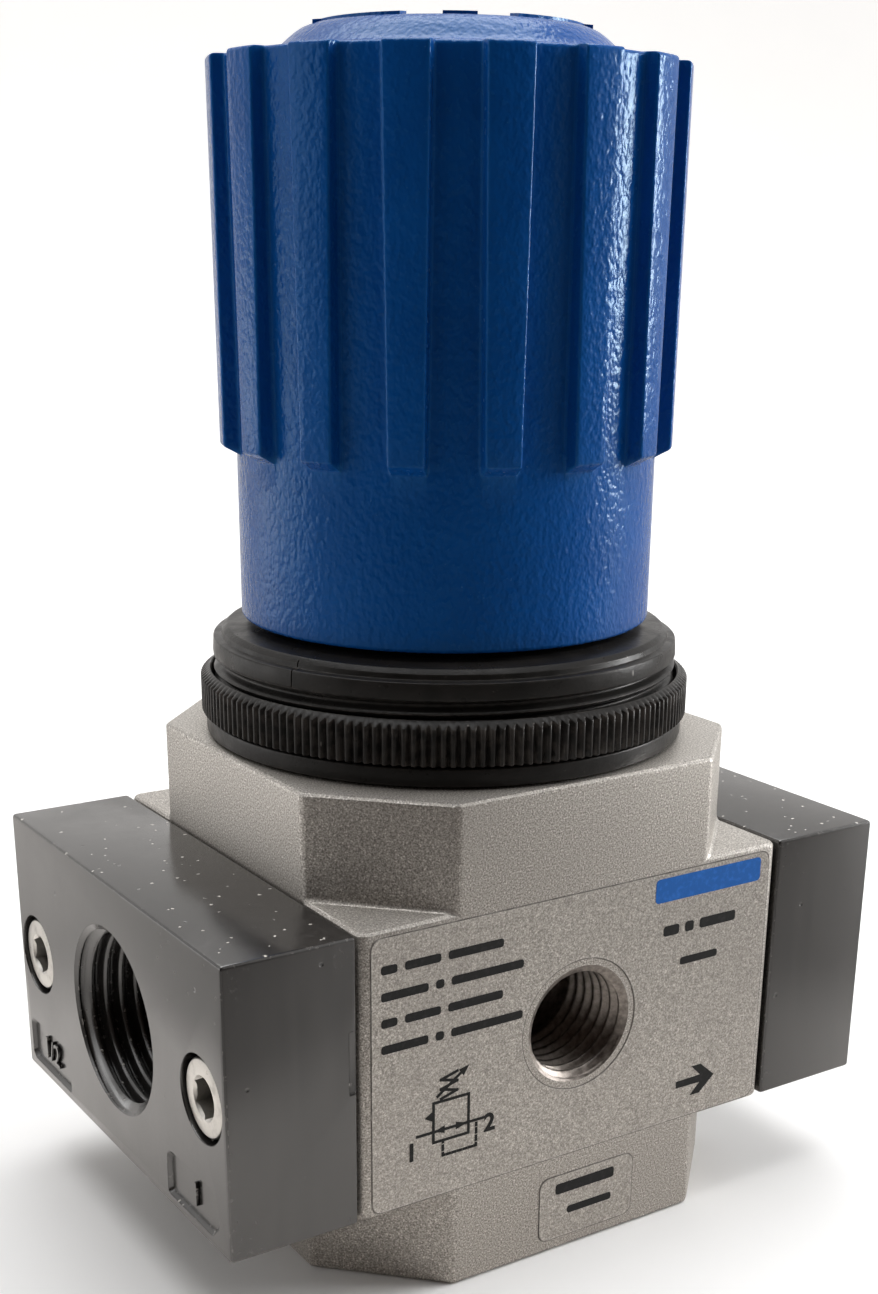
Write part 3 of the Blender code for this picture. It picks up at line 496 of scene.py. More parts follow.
def film_shadow_line():
    """Patchy dark line along the edge of a stuck-on film: a painted shadow line under the film's edge."""
    n = Nodes("painted_film_edge_shadow")
    patchy = n.noise(900.0, 4.0, 0.6)
    # dark patchy tones of the painted shadow line round the film
    tone = n.ramp(patchy, (0.35, (0.10, 0.09, 0.08)), (0.6, (0.22, 0.205, 0.19)), (0.75, (0.42, 0.40, 0.38)))
    n.set(Base_Color=tone, Roughness=n.remap(patchy, 0.3, 0.7, 0.5, 0.7), Metallic=0.2)
    n.set(Normal=n.bump(patchy, 0.01 * MM, 0.5))
    return n.material


def black_metal():
    """Black anodised plate: satin-gloss, faint vertical streaks, pits, dust, and painted shade: darker, less
    glossy corners and less glossy rounded edges.
    """
    n = Nodes("black_metal")
    streaks = n.noise(700.0, 3.0, 0.6, n.stretched(1.0, 1.0, 0.10))
    tone = n.ramp(streaks, (0.35, (0.017, 0.0158, 0.0152)), (0.7, (0.030, 0.0275, 0.026)))
    specks = n.cells(330.0)
    chance = n.remap(specks.outputs["Color"], 0.80, 0.805)
    pits = n.math('MULTIPLY', chance, n.remap(specks.outputs["Distance"], 0.10, 0.05))
    facing = n.add("SeparateXYZ", Vector=n.add("NewGeometry").outputs["Normal"])
    settled = n.remap(facing.outputs["Z"], 0.5, 0.9, 0.1, 1.0)
    dust_cells = n.cells(1000.0)
    raggedness = n.remap(n.noise(2600.0, 2.0), 0.3, 0.7, -0.09, 0.15)
    ragged = n.math('ADD', dust_cells.outputs["Distance"], raggedness)
    dust = n.math('MULTIPLY', n.remap(dust_cells.outputs["Color"], 0.70, 0.705), n.remap(ragged, 0.22, 0.14))
    dust = n.math('MULTIPLY', dust, settled)
    tone = n.mix(dust, tone, rgb(0.62, 0.59, 0.54))
    tone = n.mix(n.math('MULTIPLY', pits, 0.7), tone, rgb(0.004, 0.004, 0.004))
    edge = n.edges(0.25 * MM)
    chipped = n.math('MULTIPLY', edge, n.remap(n.noise(1600.0, 3.0), 0.60, 0.64))
    tone = n.mix(n.math('MULTIPLY', chipped, 0.6), tone, rgb(0.50, 0.47, 0.44))
    # painted shade: near-black colour and less specular reflection in corners and recesses
    painted_corner_shade = n.corners(0.35 * MM)
    tone = n.mix(painted_corner_shade, rgb(0.006, 0.005, 0.005), tone)
    # specular turned down on rounded edges and in corners: painted shade
    shine_with_painted_shade = n.math('MULTIPLY', n.remap(edge, 0.0, 1.0, 0.5, 0.22), painted_corner_shade)
    smears = n.noise(120.0, 4.0, 0.6)
    n.set(Base_Color=tone, IOR=1.93, Roughness=n.remap(smears, 0.3, 0.7, 0.17, 0.27))
    n.set(Specular_IOR_Level=shine_with_painted_shade)
    grain = n.bump(streaks, 0.012 * MM, 0.5)
    relief = n.math('SUBTRACT', dust, pits)
    n.set(Normal=n.bump(relief, 0.05 * MM, 1.0, grain))
    return n.material


def blue_plastic():
    """Blue moulded plastic with a fine leathery spark-eroded grain and a bluish sheen."""
    n = Nodes("blue_plastic")
    wrinkle = n.noise(1550.0, 1.0, 0.5, n.stretched(1.0, 1.0, 0.8))
    tone = n.ramp(n.noise(140.0, 4.0), (0.3, (0.002, 0.062, 0.27)), (0.7, (0.003, 0.075, 0.31)))
    scuffs = n.remap(n.noise(2600.0, 2.0), 0.74, 0.78, 0.0, 0.3)
    tone = n.mix(scuffs, tone, rgb(0.10, 0.24, 0.45))
    # lighter blue on rounded edges: painted edge highlight
    tone = n.mix(n.math('MULTIPLY', n.edges(0.35 * MM), 0.4), tone, rgb(0.02, 0.17, 0.44))
    n.set(Base_Color=tone, Roughness=n.remap(wrinkle, 0.3, 0.7, 0.16, 0.28))
    n.set(Specular_IOR_Level=0.26, Specular_Tint=rgb(0.36, 0.76, 1.0))
    coarse = n.bump(n.noise(650.0, 2.0), 0.10 * MM, 0.35)
    n.set(Normal=n.bump(wrinkle, 0.13 * MM, 0.9, coarse))
    return n.material


def black_plastic():
    """Satin black moulded plastic: lighter brownish edges that are partly rubbed wear and dust and partly a
    painted highlight, dusty hollows, fine grain.
    """
    n = Nodes("black_plastic")
    tone = n.ramp(n.noise(300.0, 4.0), (0.3, (0.010, 0.0095, 0.009)), (0.7, (0.019, 0.0175, 0.0165)))
    dust = n.remap(n.noise(1500.0, 5.0, 0.7), 0.66, 0.74, 0.0, 0.4)
    tone = n.mix(dust, tone, rgb(0.13, 0.118, 0.105))
    lint_cells = n.cells(800.0, 'F1', n.stretched(1.0, 1.0, 0.4))
    lint = n.math(
        'MULTIPLY', n.remap(lint_cells.outputs["Color"], 0.88, 0.885),
        n.remap(lint_cells.outputs["Distance"], 0.14, 0.07),
    )
    tone = n.mix(n.math('MULTIPLY', lint, 0.7), tone, rgb(0.38, 0.36, 0.34))
    # lighter brownish rounded edges: partly rubbed wear and dust, partly a painted edge highlight
    rubbed_and_highlit_edges = n.math('MULTIPLY', n.edges(0.25 * MM), n.remap(n.noise(900.0, 3.0), 0.40, 0.62))
    tone = n.mix(n.math('MULTIPLY', rubbed_and_highlit_edges, 0.55), tone, rgb(0.115, 0.10, 0.09))
    n.set(Base_Color=tone, Roughness=n.remap(n.noise(500.0, 3.0), 0.3, 0.7, 0.26, 0.42))
    n.set(Specular_IOR_Level=0.19)
    n.set(Normal=n.bump(n.noise(2400.0, 3.0, 0.6), 0.03 * MM, 0.8))
    return n.material


def plated_steel(name, colour, roughness, scale=1600.0):
    """Plated or oiled steel with a fine grain, small stains and painted shade in its corners, holes and
    sockets.
    """
    n = Nodes(name)
    stain = n.noise(scale * 0.4, 4.0, 0.6)
    darker = tuple(c * 0.55 for c in colour)
    tone = n.mix(n.remap(stain, 0.5, 0.75, 0.0, 0.7), rgb(*colour), rgb(*darker))
    # near-black in corners, holes and sockets: painted shade from an occlusion mask
    tone = n.mix(n.corners(1.6 * MM, 0.45, 0.9), rgb(*(c * 0.1 for c in colour)), tone)
    n.set(Base_Color=tone, Metallic=1.0)
    n.set(Roughness=n.remap(stain, 0.3, 0.7, roughness, roughness + 0.18))
    n.set(Normal=n.bump(n.noise(scale, 3.0, 0.6), 0.03 * MM, 0.7))
    return n.material


def brass():
    n = Nodes("turned_brass")
    lines = n.noise(2600.0, 2.0, 0.5, n.stretched(0.08, 0.08, 1.0))
    tone = n.ramp(lines, (0.3, (0.58, 0.40, 0.15)), (0.7, (0.76, 0.56, 0.25)))
    n.set(Base_Color=tone, Metallic=1.0, Roughness=n.remap(lines, 0.3, 0.7, 0.24, 0.36))
    n.set(Normal=n.bump(lines, 0.01 * MM, 0.5))
    return n.material


def rubber():
    n = Nodes("black_rubber")
    tone = n.ramp(n.noise(500.0, 4.0), (0.3, (0.012, 0.012, 0.012)), (0.7, (0.028, 0.027, 0.026)))
    n.set(Base_Color=tone, Roughness=n.remap(n.noise(900.0, 3.0), 0.3, 0.7, 0.55, 0.75))
    n.set(Normal=n.bump(n.noise(3000.0, 2.0), 0.015 * MM, 0.5))
    return n.material


def white_plastic():
    n = Nodes("natural_acetal")
    tone = n.ramp(n.noise(200.0, 3.0), (0.3, (0.66, 0.65, 0.60)), (0.7, (0.78, 0.77, 0.72)))
    n.set(Base_Color=tone, Roughness=n.remap(n.noise(900.0, 3.0), 0.3, 0.7, 0.38, 0.5))
    n.set(Subsurface_Weight=0.15, Subsurface_Scale=1.0 * MM)
    n.set(Normal=n.bump(n.noise(2400.0, 2.0), 0.015 * MM, 0.5))
    return n.material


def ink(name, colour):
    """Screen-print ink, slightly uneven."""
    n = Nodes(name)
    uneven = n.noise(1800.0, 3.0)
    lighter = tuple(min(1.0, c * 1.6 + 0.02) for c in colour)
    n.set(Base_Color=n.mix(n.remap(uneven, 0.5, 0.8, 0.0, 0.6), rgb(*colour), rgb(*lighter)))
    n.set(Roughness=n.remap(uneven, 0.3, 0.7, 0.5, 0.68), Specular_IOR_Level=0.2)
    n.set(Normal=n.bump(uneven, 0.008 * MM, 0.4))
    return n.material


# ---------------------------------------------------------------- housing


def octagon_blank():
    """The casting's outside before any bore: square block with four corners cut off at both ends."""
    blank = box("body", (-HALF, -HALF, 0.0), (HALF, HALF, TOP))
    chamfer = (HALF + FLAT_HALF) / math.sqrt(2.0)
    reach = HALF
    for low, high in ((BLOCK_HIGH, TOP + MM), (-MM, BLOCK_LOW)):
        for quarter, shift in enumerate((0.0, 0.0, -0.2 * MM, 0.5 * MM)):
            angle = math.radians(45.0 + 90.0 * quarter)
            tool = box("corner", (chamfer + shift, -reach, low), (chamfer + shift + reach, reach, high))
            place(tool, Matrix.Rotation(angle, 4, 'Z'))
            cut(blank, tool)
    work = bmesh.new()
    work.from_mesh(blank.data)
    bmesh.ops.remove_doubles(work, verts=work.verts, dist=0.00001)
    bmesh.ops.dissolve_limit(
        work, angle_limit=math.radians(1.0), verts=work.verts[:], edges=work.edges[:],
    )
    corners = [
        e for e in work.edges
        if all(abs(abs(v.co.x) - HALF) < 1e-6 and abs(abs(v.co.y) - HALF) < 1e-6 for v in e.verts)
    ]
    bmesh.ops.bevel(work, geom=corners, offset=BLOCK_CORNER, segments=5, profile=0.5, affect='EDGES')
    sharp = [e for e in work.edges if len(e.link_faces) == 2 and e.calc_face_angle(0.0) > math.radians(30.0)]
    bmesh.ops.bevel(work, geom=sharp, offset=EDGE, segments=3, profile=0.5, affect='EDGES')
    work.to_mesh(blank.data)
    work.free()
    return blank


def make_body(finish, bare):
    body = octagon_blank()
    stepped = turned("stepped_bore", [
        (0.0, TOP + MM),
        (23.4 * MM, TOP + MM),
        (23.4 * MM, 46.0 * MM, 0.3 * MM),
        (16.0 * MM, 46.0 * MM),
        (16.0 * MM, 42.0 * MM),
        (12.0 * MM, 42.0 * MM),
        (12.0 * MM, 29.0 * MM),
        (8.8 * MM, 29.0 * MM),
        (8.8 * MM, 24.0 * MM),
        (10.0 * MM, 24.0 * MM),
        (10.0 * MM, 11.5 * MM),
        (12.0 * MM, 11.5 * MM),
        (12.0 * MM, 3.7 * MM),
        (13.4 * MM, 3.7 * MM),
        (13.4 * MM, 0.4 * MM),
        (14.2 * MM, -0.4 * MM),
        (14.2 * MM, -MM),
        (0.0, -MM),
    ])
    tools = [stepped]
    passage_end = 13.5 * MM
    for side, axis, low, high in ((-1, "-X", 19.0 * MM, 24.0 * MM), (1, "+X", 29.5 * MM, 36.0 * MM)):
        tools.append(place(rod("passage", 9.0 * MM, passage_end, HALF + MM), along(axis, z=PORT_Z)))
        near, far = sorted((side * 8.0 * MM, side * (passage_end + 1.5 * MM)))
        tools.append(box("slot", (near, -5.0 * MM, low), (far, 5.0 * MM, high)))
        for y in (-SCREW_Y, SCREW_Y):
            tools.append(place(rod("tapped", 2.8 * MM, 15.0 * MM, HALF + MM, 32), along(axis, y=y, z=PORT_Z)))
    for side, axis in ((-1, "-Y"), (1, "+Y")):
        near, far = sorted((side * 11.3 * MM, side * (HALF - GAUGE_DEPTH + 1.5 * MM)))
        tools.append(box("link", (-2.0 * MM, near, PORT_Z), (2.0 * MM, far, 33.0 * MM)))
    major, minor, pitch = G_QUARTER_THREAD
    start = HALF - GAUGE_DEPTH
    tap = thread("gauge_tap", major, minor, pitch, start + pitch, HALF + MM)
    tools.append(place(tap, along("-Y", z=PORT_Z)))
    tools.append(place(rod("gauge_drill", minor + 0.01 * MM, start, HALF + MM), along("-Y", z=PORT_Z)))
    tools.append(place(mouth_tool(major + 0.2 * MM, minor, HALF, 0.55), along("-Y", z=PORT_Z)))
    tools.append(place(rod("rear_drill", 5.75 * MM, start, HALF + MM), along("+Y", z=PORT_Z)))
    tools.append(place(rod("plug_seat", 7.6 * MM, HALF - 3.2 * MM, HALF + MM), along("+Y", z=PORT_Z)))
    cut(body, *tools)
    paint(body, finish, bare)
    skin = 0.05 * MM
    for face in body.data.polygons:
        x, y, z = face.center
        outside = max(abs(x), abs(y)) > HALF - skin or z > TOP - EDGE or z < EDGE
        in_bore = math.hypot(x, y) < 23.5 * MM
        in_gauge_port = math.hypot(x, z - PORT_Z) < 6.9 * MM
        in_passage = math.hypot(y, z - PORT_Z) < 9.2 * MM
        if not outside and (in_bore or in_gauge_port or in_passage):
            face.material_index = 1
    return smooth(body, 28.0)


def mouth_tool(mouth, bore, face, slope=0.9):
    """Countersink tool about Z whose wide end opens through a face at that height."""
    depth = (mouth - bore) * slope
    return turned("mouth", [
        (0.0, face + MM),
        (mouth + MM, face + MM),
        (mouth, face),
        (bore, face - depth),
        (0.0, face - depth),
    ])


def make_plate(name, side, finish):
    """A connecting plate: threaded port, counterbored screws, seal groove, marks and a side notch."""
    near, far = sorted((side * PLATE_INNER, side * PLATE_OUTER))
    plate = box(name, (near, -HALF, BLOCK_LOW), (far, HALF, BLOCK_HIGH), None, 0.45 * MM)
    axis = "+X" if side > 0 else "-X"
    centre = along(axis, z=PORT_Z)
    major, minor, pitch = G_HALF_THREAD
    tools = [
        place(thread("port_tap", major, minor, pitch, PLATE_INNER, PLATE_OUTER + pitch), centre),
        place(rod("port_drill", minor + 0.01 * MM, PLATE_INNER - MM, PLATE_OUTER + MM, 96), centre),
        place(mouth_tool(major + 0.15 * MM, minor, PLATE_OUTER), centre),
        place(turned("groove", [
            (11.15 * MM, PLATE_INNER + 2.4 * MM),
            (13.85 * MM, PLATE_INNER + 2.4 * MM),
            (13.85 * MM, PLATE_INNER - MM),
            (11.15 * MM, PLATE_INNER - MM),
        ], ring=True), centre),
    ]
    for y in (-SCREW_Y, SCREW_Y):
        spot = along(axis, y=y, z=PORT_Z)
        tools.append(place(turned("counterbore", [
            (0.0, PLATE_OUTER + MM),
            (5.7 * MM, PLATE_OUTER + MM),
            (4.7 * MM, PLATE_OUTER - 0.05 * MM, 0.25 * MM),
            (4.7 * MM, PLATE_OUTER - 5.6 * MM),
            (2.8 * MM, PLATE_OUTER - 5.6 * MM),
            (2.8 * MM, PLATE_INNER - MM),
            (0.0, PLATE_INNER - MM),
        ], segments=64), spot))
    face = side * PLATE_OUTER
    for y, pointed in ((-19.0 * MM, True), (20.0 * MM, False)):
        tools.append(mark_recess(y, face, pointed))
    if side < 0:
        near, far = -PLATE_INNER - 0.95 * MM, -PLATE_INNER + MM
        notch_low, notch_high = (near, -HALF - MM, 26.5 * MM), (far, -HALF + 0.3 * MM, 33.5 * MM)
        tools.append(box("notch", notch_low, notch_high, None, 0.15 * MM))
    cut(plate, *tools)
    paint(plate, finish)
    return smooth(plate, 28.0)


def mark_recess(y, face, pointed):
    """Tool for a shallow recess with sloping walls that frames a port mark; one has a pointed end."""
    low, high, half = 12.7 * MM, 18.1 * MM, 6.1 * MM
    depth, slope = 0.5 * MM, 0.35 * MM
    tip = 1.6 * MM if pointed else 0.7 * MM
    rows = []
    for level, inset in ((-depth, slope), (0.02 * MM, 0.0), (MM, 0.0)):
        a, b, c = half - inset, low + inset, high - inset
        corners = [
            (-a, b + tip, 0.5 * MM), (-a + tip, b, 0.5 * MM), (a, b, 0.5 * MM),
            (a, c, 1.4 * MM), (-a + tip, c, 0.5 * MM), (-a, c - tip, 0.5 * MM),
        ]
        rows.append([(u, v, level) for u, v in filleted(corners, closed=True)])
    tool = loft("mark", rows)
    mirror = 1.0 if pointed else -1.0
    side = math.copysign(1.0, face)
    turn = Matrix(((0, 0, side, face), (mirror, 0, 0, y), (0, 1, 0, 0), (0, 0, 0, 1)))
    return place(tool, turn)


def make_plate_screw(name, side, y, finish):
    """Socket-head screw with a rounded rim and a hexagon socket."""
    low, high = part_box(name)
    head_top = high.x if side > 0 else -low.x
    length = high.x - low.x
    seat = head_top - 5.0 * MM
    screw = turned(name, [
        (0.0, head_top),
        (4.25 * MM, head_top, 0.45 * MM),
        (4.25 * MM, seat, 0.1 * MM),
        (2.5 * MM, seat),
        (2.5 * MM, head_top - length + 0.5 * MM),
        (2.0 * MM, head_top - length),
        (0.0, head_top - length),
    ], segments=72)
    socket = rod("socket", 4.05 * MM / math.sqrt(3.0), head_top - 2.5 * MM, head_top + MM, 6)
    lead = turned("lead", [
        (0.0, head_top + MM),
        (3.4 * MM, head_top + MM),
        (2.1 * MM, head_top - 0.3 * MM),
        (0.0, head_top - 0.3 * MM),
    ], segments=48)
    cut(screw, socket, lead)
    paint(screw, finish)
    place(screw, along("+X" if side > 0 else "-X", y=y, z=PORT_Z))
    return smooth(screw, 30.0)


# ---------------------------------------------------------------- labels and print


def rounded_rectangle(low_x, low_z, high_x, high_z, radius, steps=6):
    points = []
    for x, z, first in (
        (high_x - radius, high_z - radius, 0.0), (low_x + radius, high_z - radius, 90.0),
        (low_x + radius, low_z + radius, 180.0), (high_x - radius, low_z + radius, 270.0),
    ):
        for i in range(steps + 1):
            angle = math.radians(first + 90.0 * i / steps)
            points.append((x + radius * math.cos(angle), z + radius * math.sin(angle)))
    return points


def on_front(obj, depth):
    """Stands an XY drawing up on the front face, its Z towards the viewer."""
    turn = Matrix(((1, 0, 0, 0), (0, 0, -1, -HALF - depth), (0, 1, 0, 0), (0, 0, 0, 1)))
    return place(obj, turn)


def make_film(name, low, high, finish, cutout=0.0, thickness=FILM, grow=0.0):
    outline = rounded_rectangle(low.x - grow, low.z - grow, high.x + grow, high.z + grow, 1.2 * MM)
    film = prism(name, outline, -0.05 * MM, thickness)
    if cutout:
        hole = place(rod("cutout", cutout - grow, -MM, MM, 96), Matrix.Translation((0.0, PORT_Z, 0.0)))
        cut(film, hole)
    on_front(film, 0.0)
    paint(film, finish)
    return film


class Drawing:
    """Flat print made of strokes, polygons and numerals, in label coordinates (x right, z up)."""

    def __init__(self):
        self.work = bmesh.new()
        self.count = 0

    def polygon(self, points):
        """Adds a flat shape; each is a hair higher than the last, so crossing strokes don't share a face."""
        self.count += 1
        top = PRINT_THICKNESS + 0.0004 * MM * (self.count % 24)
        low = [self.work.verts.new((x, z, 0.0)) for x, z in points]
        high = [self.work.verts.new((x, z, top)) for x, z in points]
        self.work.faces.new(list(reversed(low)))
        self.work.faces.new(high)
        for i in range(len(points)):
            j = (i + 1) % len(points)
            self.work.faces.new((low[i], low[j], high[j], high[i]))

    def line(self, a, b, width):
        a, b = Vector(a), Vector(b)
        along_line = (b - a).normalized() * (width / 2)
        across = Vector((-along_line.y, along_line.x))
        a, b = a - along_line, b + along_line
        self.polygon([a - across, b - across, b + across, a + across])

    def path(self, points, width):
        for a, b in zip(points[:-1], points[1:]):
            self.line(a, b, width)

    def dashes(self, points, width, dash):
        for a, b in zip(points[:-1], points[1:]):
            a, b = Vector(a), Vector(b)
            length = (b - a).length
            count = max(1, int(length / (dash * 2) + 0.5))
            for i in range(count + 1):
                start = a.lerp(b, max(0.0, (i * 2 - 0.5) / (2 * count)))
                end = a.lerp(b, min(1.0, (i * 2 + 0.5) / (2 * count)))
                self.line(start, end, width)

    def blank_words(self, x, z, words, height):
        """Plain rounded bars that stand for the words of a line of small print."""
        for length in words:
            self.polygon(rounded_rectangle(x, z, x + length * MM, z + height, 0.3 * MM, 3))
            x += length * MM + 0.9 * MM

    def finish_as(self, name, finish):
        obj = from_bmesh(name, self.work, finish)
        return on_front(obj, FILM + PRINT_LIFT - PRINT_THICKNESS)


def numeral(name, text, size, depth, finish, bold=0.05):
    curve = bpy.data.curves.new(name, 'FONT')
    curve.body = text
    curve.size = size
    curve.offset = size * bold
    curve.extrude = depth / 2
    curve.resolution_u = 4
    curve.align_x = 'CENTER'
    curve.align_y = 'CENTER'
    source = bpy.data.objects.new(name + "_text", curve)
    bpy.context.scene.collection.objects.link(source)
    mesh = bpy.data.meshes.new_from_object(source.evaluated_get(bpy.context.evaluated_depsgraph_get()))
    bpy.data.objects.remove(source)
    work = bmesh.new()
    work.from_mesh(mesh)
    bmesh.ops.remove_doubles(work, verts=work.verts, dist=0.000001)
    work.to_mesh(mesh)
    work.free()
    return link(name, mesh, finish)


def make_print(black, blue):
    """Blank text rows, the regulator's circuit symbol, the flow arrow and a plain blue bar."""
    pieces = []
    rows = Drawing()
    short_row = (1.9, 4.3, 6.8)
    long_row = (5.6, 1.0, 9.0)
    for z, words in ((11.3, short_row), (8.4, long_row), (5.5, short_row), (2.6, long_row)):
        rows.blank_words(-25.1 * MM, PORT_Z + z * MM, words, 0.95 * MM)
    rows.blank_words(11.2 * MM, PORT_Z + 7.8 * MM, (2.2, 1.2, 5.2), 1.2 * MM)
    rows.blank_words(13.8 * MM, PORT_Z + 3.9 * MM, (5.4,), 0.9 * MM)
    rows.blank_words(-2.5 * MM, PORT_Z - 20.4 * MM, (8.2,), 1.3 * MM)
    rows.blank_words(-0.8 * MM, PORT_Z - 23.2 * MM, (6.2,), 0.9 * MM)

    thin = 0.32 * MM
    left, right = -18.8 * MM, -14.4 * MM
    low, high = PORT_Z - 9.1 * MM, PORT_Z - 4.5 * MM
    rows.path([(left, low), (right, low), (right, high), (left, high), (left, low)], thin)
    flow = PORT_Z - 7.85 * MM
    rows.line((left - 2.0 * MM, flow), (right + 2.0 * MM, flow), thin)
    barb = 0.45 * MM
    tail = right - 1.6 * MM
    rows.polygon([(tail, flow - barb), (tail, flow + barb), (right - 0.1 * MM, flow)])
    tail = left + 1.4 * MM
    rows.polygon([(left + 0.1 * MM, flow), (tail, flow + barb), (tail, flow - barb)])
    rows.polygon([
        (left - 0.1 * MM, PORT_Z - 5.4 * MM), (left - 1.1 * MM, PORT_Z - 6.0 * MM),
        (left - 0.1 * MM, PORT_Z - 6.6 * MM),
    ])
    rows.dashes([
        (left + 1.2 * MM, low), (left + 1.2 * MM, low - 1.8 * MM), (right + 1.0 * MM, low - 1.8 * MM),
        (right + 1.0 * MM, flow - 0.4 * MM),
    ], thin, 0.38 * MM)
    middle = (left + right) / 2 - 0.3 * MM
    zigzag = [(middle + (1.0 if i % 2 else -1.0) * MM, high + (0.3 + 0.55 * i) * MM) for i in range(6)]
    rows.path(zigzag, thin)
    rows.line((middle - 1.4 * MM, high + 0.7 * MM), (middle + 1.9 * MM, high + 3.0 * MM), thin)
    rows.polygon([
        (middle + 2.5 * MM, high + 3.4 * MM), (middle + 1.2 * MM, high + 3.1 * MM),
        (middle + 1.8 * MM, high + 2.3 * MM),
    ])

    arrow = (
        (14.3, -0.42), (17.9, -0.48), (16.5, -1.85), (17.9, -1.85), (20.0, 0.0), (17.9, 1.85),
        (16.5, 1.85), (17.9, 0.48), (14.3, 0.42),
    )
    rows.polygon([(x * MM, PORT_Z + (z - 11.2) * MM) for x, z in arrow])
    pieces.append(rows.finish_as("front_print", black))

    bar = Drawing()
    bar.polygon(rounded_rectangle(
        9.8 * MM, PORT_Z + 11.9 * MM, 25.0 * MM, PORT_Z + 14.7 * MM, 0.5 * MM,
    ))
    pieces.append(bar.finish_as("colour_bar", blue))

    for name, text, x, z in (("symbol_numeral_1", "1", -21.5, -9.6), ("symbol_numeral_2", "2", -11.7, -8.7)):
        mark = numeral(name, text, 2.9 * MM, PRINT_THICKNESS, black, 0.03)
        place(mark, Matrix.Translation((x * MM, PORT_Z + z * MM, 0.0)))
        pieces.append(on_front(mark, FILM + PRINT_LIFT))
    return pieces


def make_port_numerals(finish):
    """Raised numerals in the plates' recesses: port number in front, thread size behind."""
    pieces = []
    for port, side, number in (("inlet", -1, "1"), ("outlet", 1, "2")):
        for where, text, y in (("front", number, -19.4), ("rear", "1/2", 20.2)):
            mark = numeral(f"{port}_mark_{where}", text, MARK_HEIGHT, 0.6 * MM, finish, 0.0)
            turn = Matrix(((0, 0, side, side * MARK_FACE), (side, 0, 0, y * MM),
                           (0, 1, 0, 15.4 * MM), (0, 0, 0, 1)))
            pieces.append(place(mark, turn))
    return pieces


# ---------------------------------------------------------------- plugs and springs


def make_rear_plug(finish):
    """Blanking plug of the rear gauge port: thin head with a rounded rim, threaded shank, hexagon socket."""
    head = HALF - 0.2 * MM
    end = HALF - GAUGE_DEPTH + 0.5 * MM
    plug = turned("rear_plug", [
        (0.0, head),
        (7.2 * MM, head, 0.35 * MM),
        (7.2 * MM, head - 1.3 * MM, 0.15 * MM),
        (5.45 * MM, head - 1.3 * MM),
        (5.45 * MM, end + 0.5 * MM),
        (4.95 * MM, end),
        (0.0, end),
    ], segments=96)
    socket = rod("socket", 6.05 * MM / math.sqrt(3.0), HALF - 5.0 * MM, HALF + MM, 6)
    lead = turned("lead", [
        (0.0, HALF + MM),
        (4.75 * MM, HALF + MM),
        (3.3 * MM, head - 0.45 * MM),
        (0.0, head - 0.45 * MM),
    ], segments=48)
    ring_groove = turned("ring_groove", [
        (5.5 * MM, head - 0.25 * MM),
        (5.9 * MM, head - 0.25 * MM),
        (5.9 * MM, HALF + MM),
        (5.5 * MM, HALF + MM),
    ], ring=True)
    cut(plug, socket, lead, ring_groove)
    paint(plug, finish)
    place(plug, along("+Y", z=PORT_Z))
    return smooth(plug, 30.0)


def make_bottom_plug(finish):
    """Screw plug under the valve: flat head with a hexagon socket and a turned face groove."""
    head = -0.4 * MM
    plug = turned("valve_plug", [
        (0.0, head),
        (13.0 * MM, head, 0.4 * MM),
        (13.0 * MM, -3.4 * MM, 0.1 * MM),
        (11.7 * MM, -3.4 * MM),
        (11.7 * MM, -8.0 * MM, 0.1 * MM),
        (10.1 * MM, -8.0 * MM, 0.15 * MM),
        (10.1 * MM, -10.4 * MM, 0.15 * MM),
        (11.7 * MM, -10.4 * MM, 0.1 * MM),
        (11.7 * MM, -10.8 * MM),
        (11.1 * MM, -11.2 * MM),
        (5.4 * MM, -11.6 * MM, 0.2 * MM),
        (5.4 * MM, -8.0 * MM, 0.2 * MM),
        (2.9 * MM, -8.0 * MM, 0.1 * MM),
        (2.9 * MM, -4.3 * MM),
        (0.0, -4.3 * MM),
    ], segments=120)
    socket = rod("socket", 8.05 * MM / math.sqrt(3.0), -3.0 * MM, MM, 6)
    lead = turned("lead", [
        (0.0, MM),
        (6.35 * MM, MM),
        (4.4 * MM, head - 0.55 * MM),
        (0.0, head - 0.55 * MM),
    ], segments=48)
    face_groove = turned("face_groove", [
        (9.6 * MM, head - 0.3 * MM),
        (10.2 * MM, head - 0.3 * MM),
        (10.2 * MM, MM),
        (9.6 * MM, MM),
    ], ring=True, segments=96)
    cut(plug, socket, lead, face_groove)
    paint(plug, finish)
    place(plug, Matrix.Rotation(math.pi, 4, 'X'))
    return smooth(plug, 30.0)


def make_diaphragm(finish):
    """Rubber sheet in two halves that meet at the bottom of its roll: clamped rim, and moving centre."""
    low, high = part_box("diaphragm")
    roll_centre, roll = 13.4 * MM, 1.9 * MM
    hole, parting = 3.6 * MM, 0.03 * MM
    sheet_low = low.z + roll
    halves = []
    for name, side, edge in (("diaphragm_rim", 1, high.x), ("diaphragm_centre", -1, hole)):
        quarter = [math.radians(90.0 * i / 6) for i in range(7)]
        under = [
            (roll_centre + side * (roll * math.sin(a) + parting), sheet_low - roll * math.cos(a))
            for a in quarter
        ]
        inner = roll - 0.8 * MM
        above = [
            (roll_centre + side * (inner * math.sin(a) + parting), high.z - inner * math.cos(a))
            for a in quarter
        ]
        bead = 0.15 * MM
        outline = [*under, (edge, sheet_low, bead), (edge, high.z, bead), *reversed(above)]
        if side > 0:
            outline.reverse()
        halves.append(turned(name, outline, finish, ring=True))
    return halves


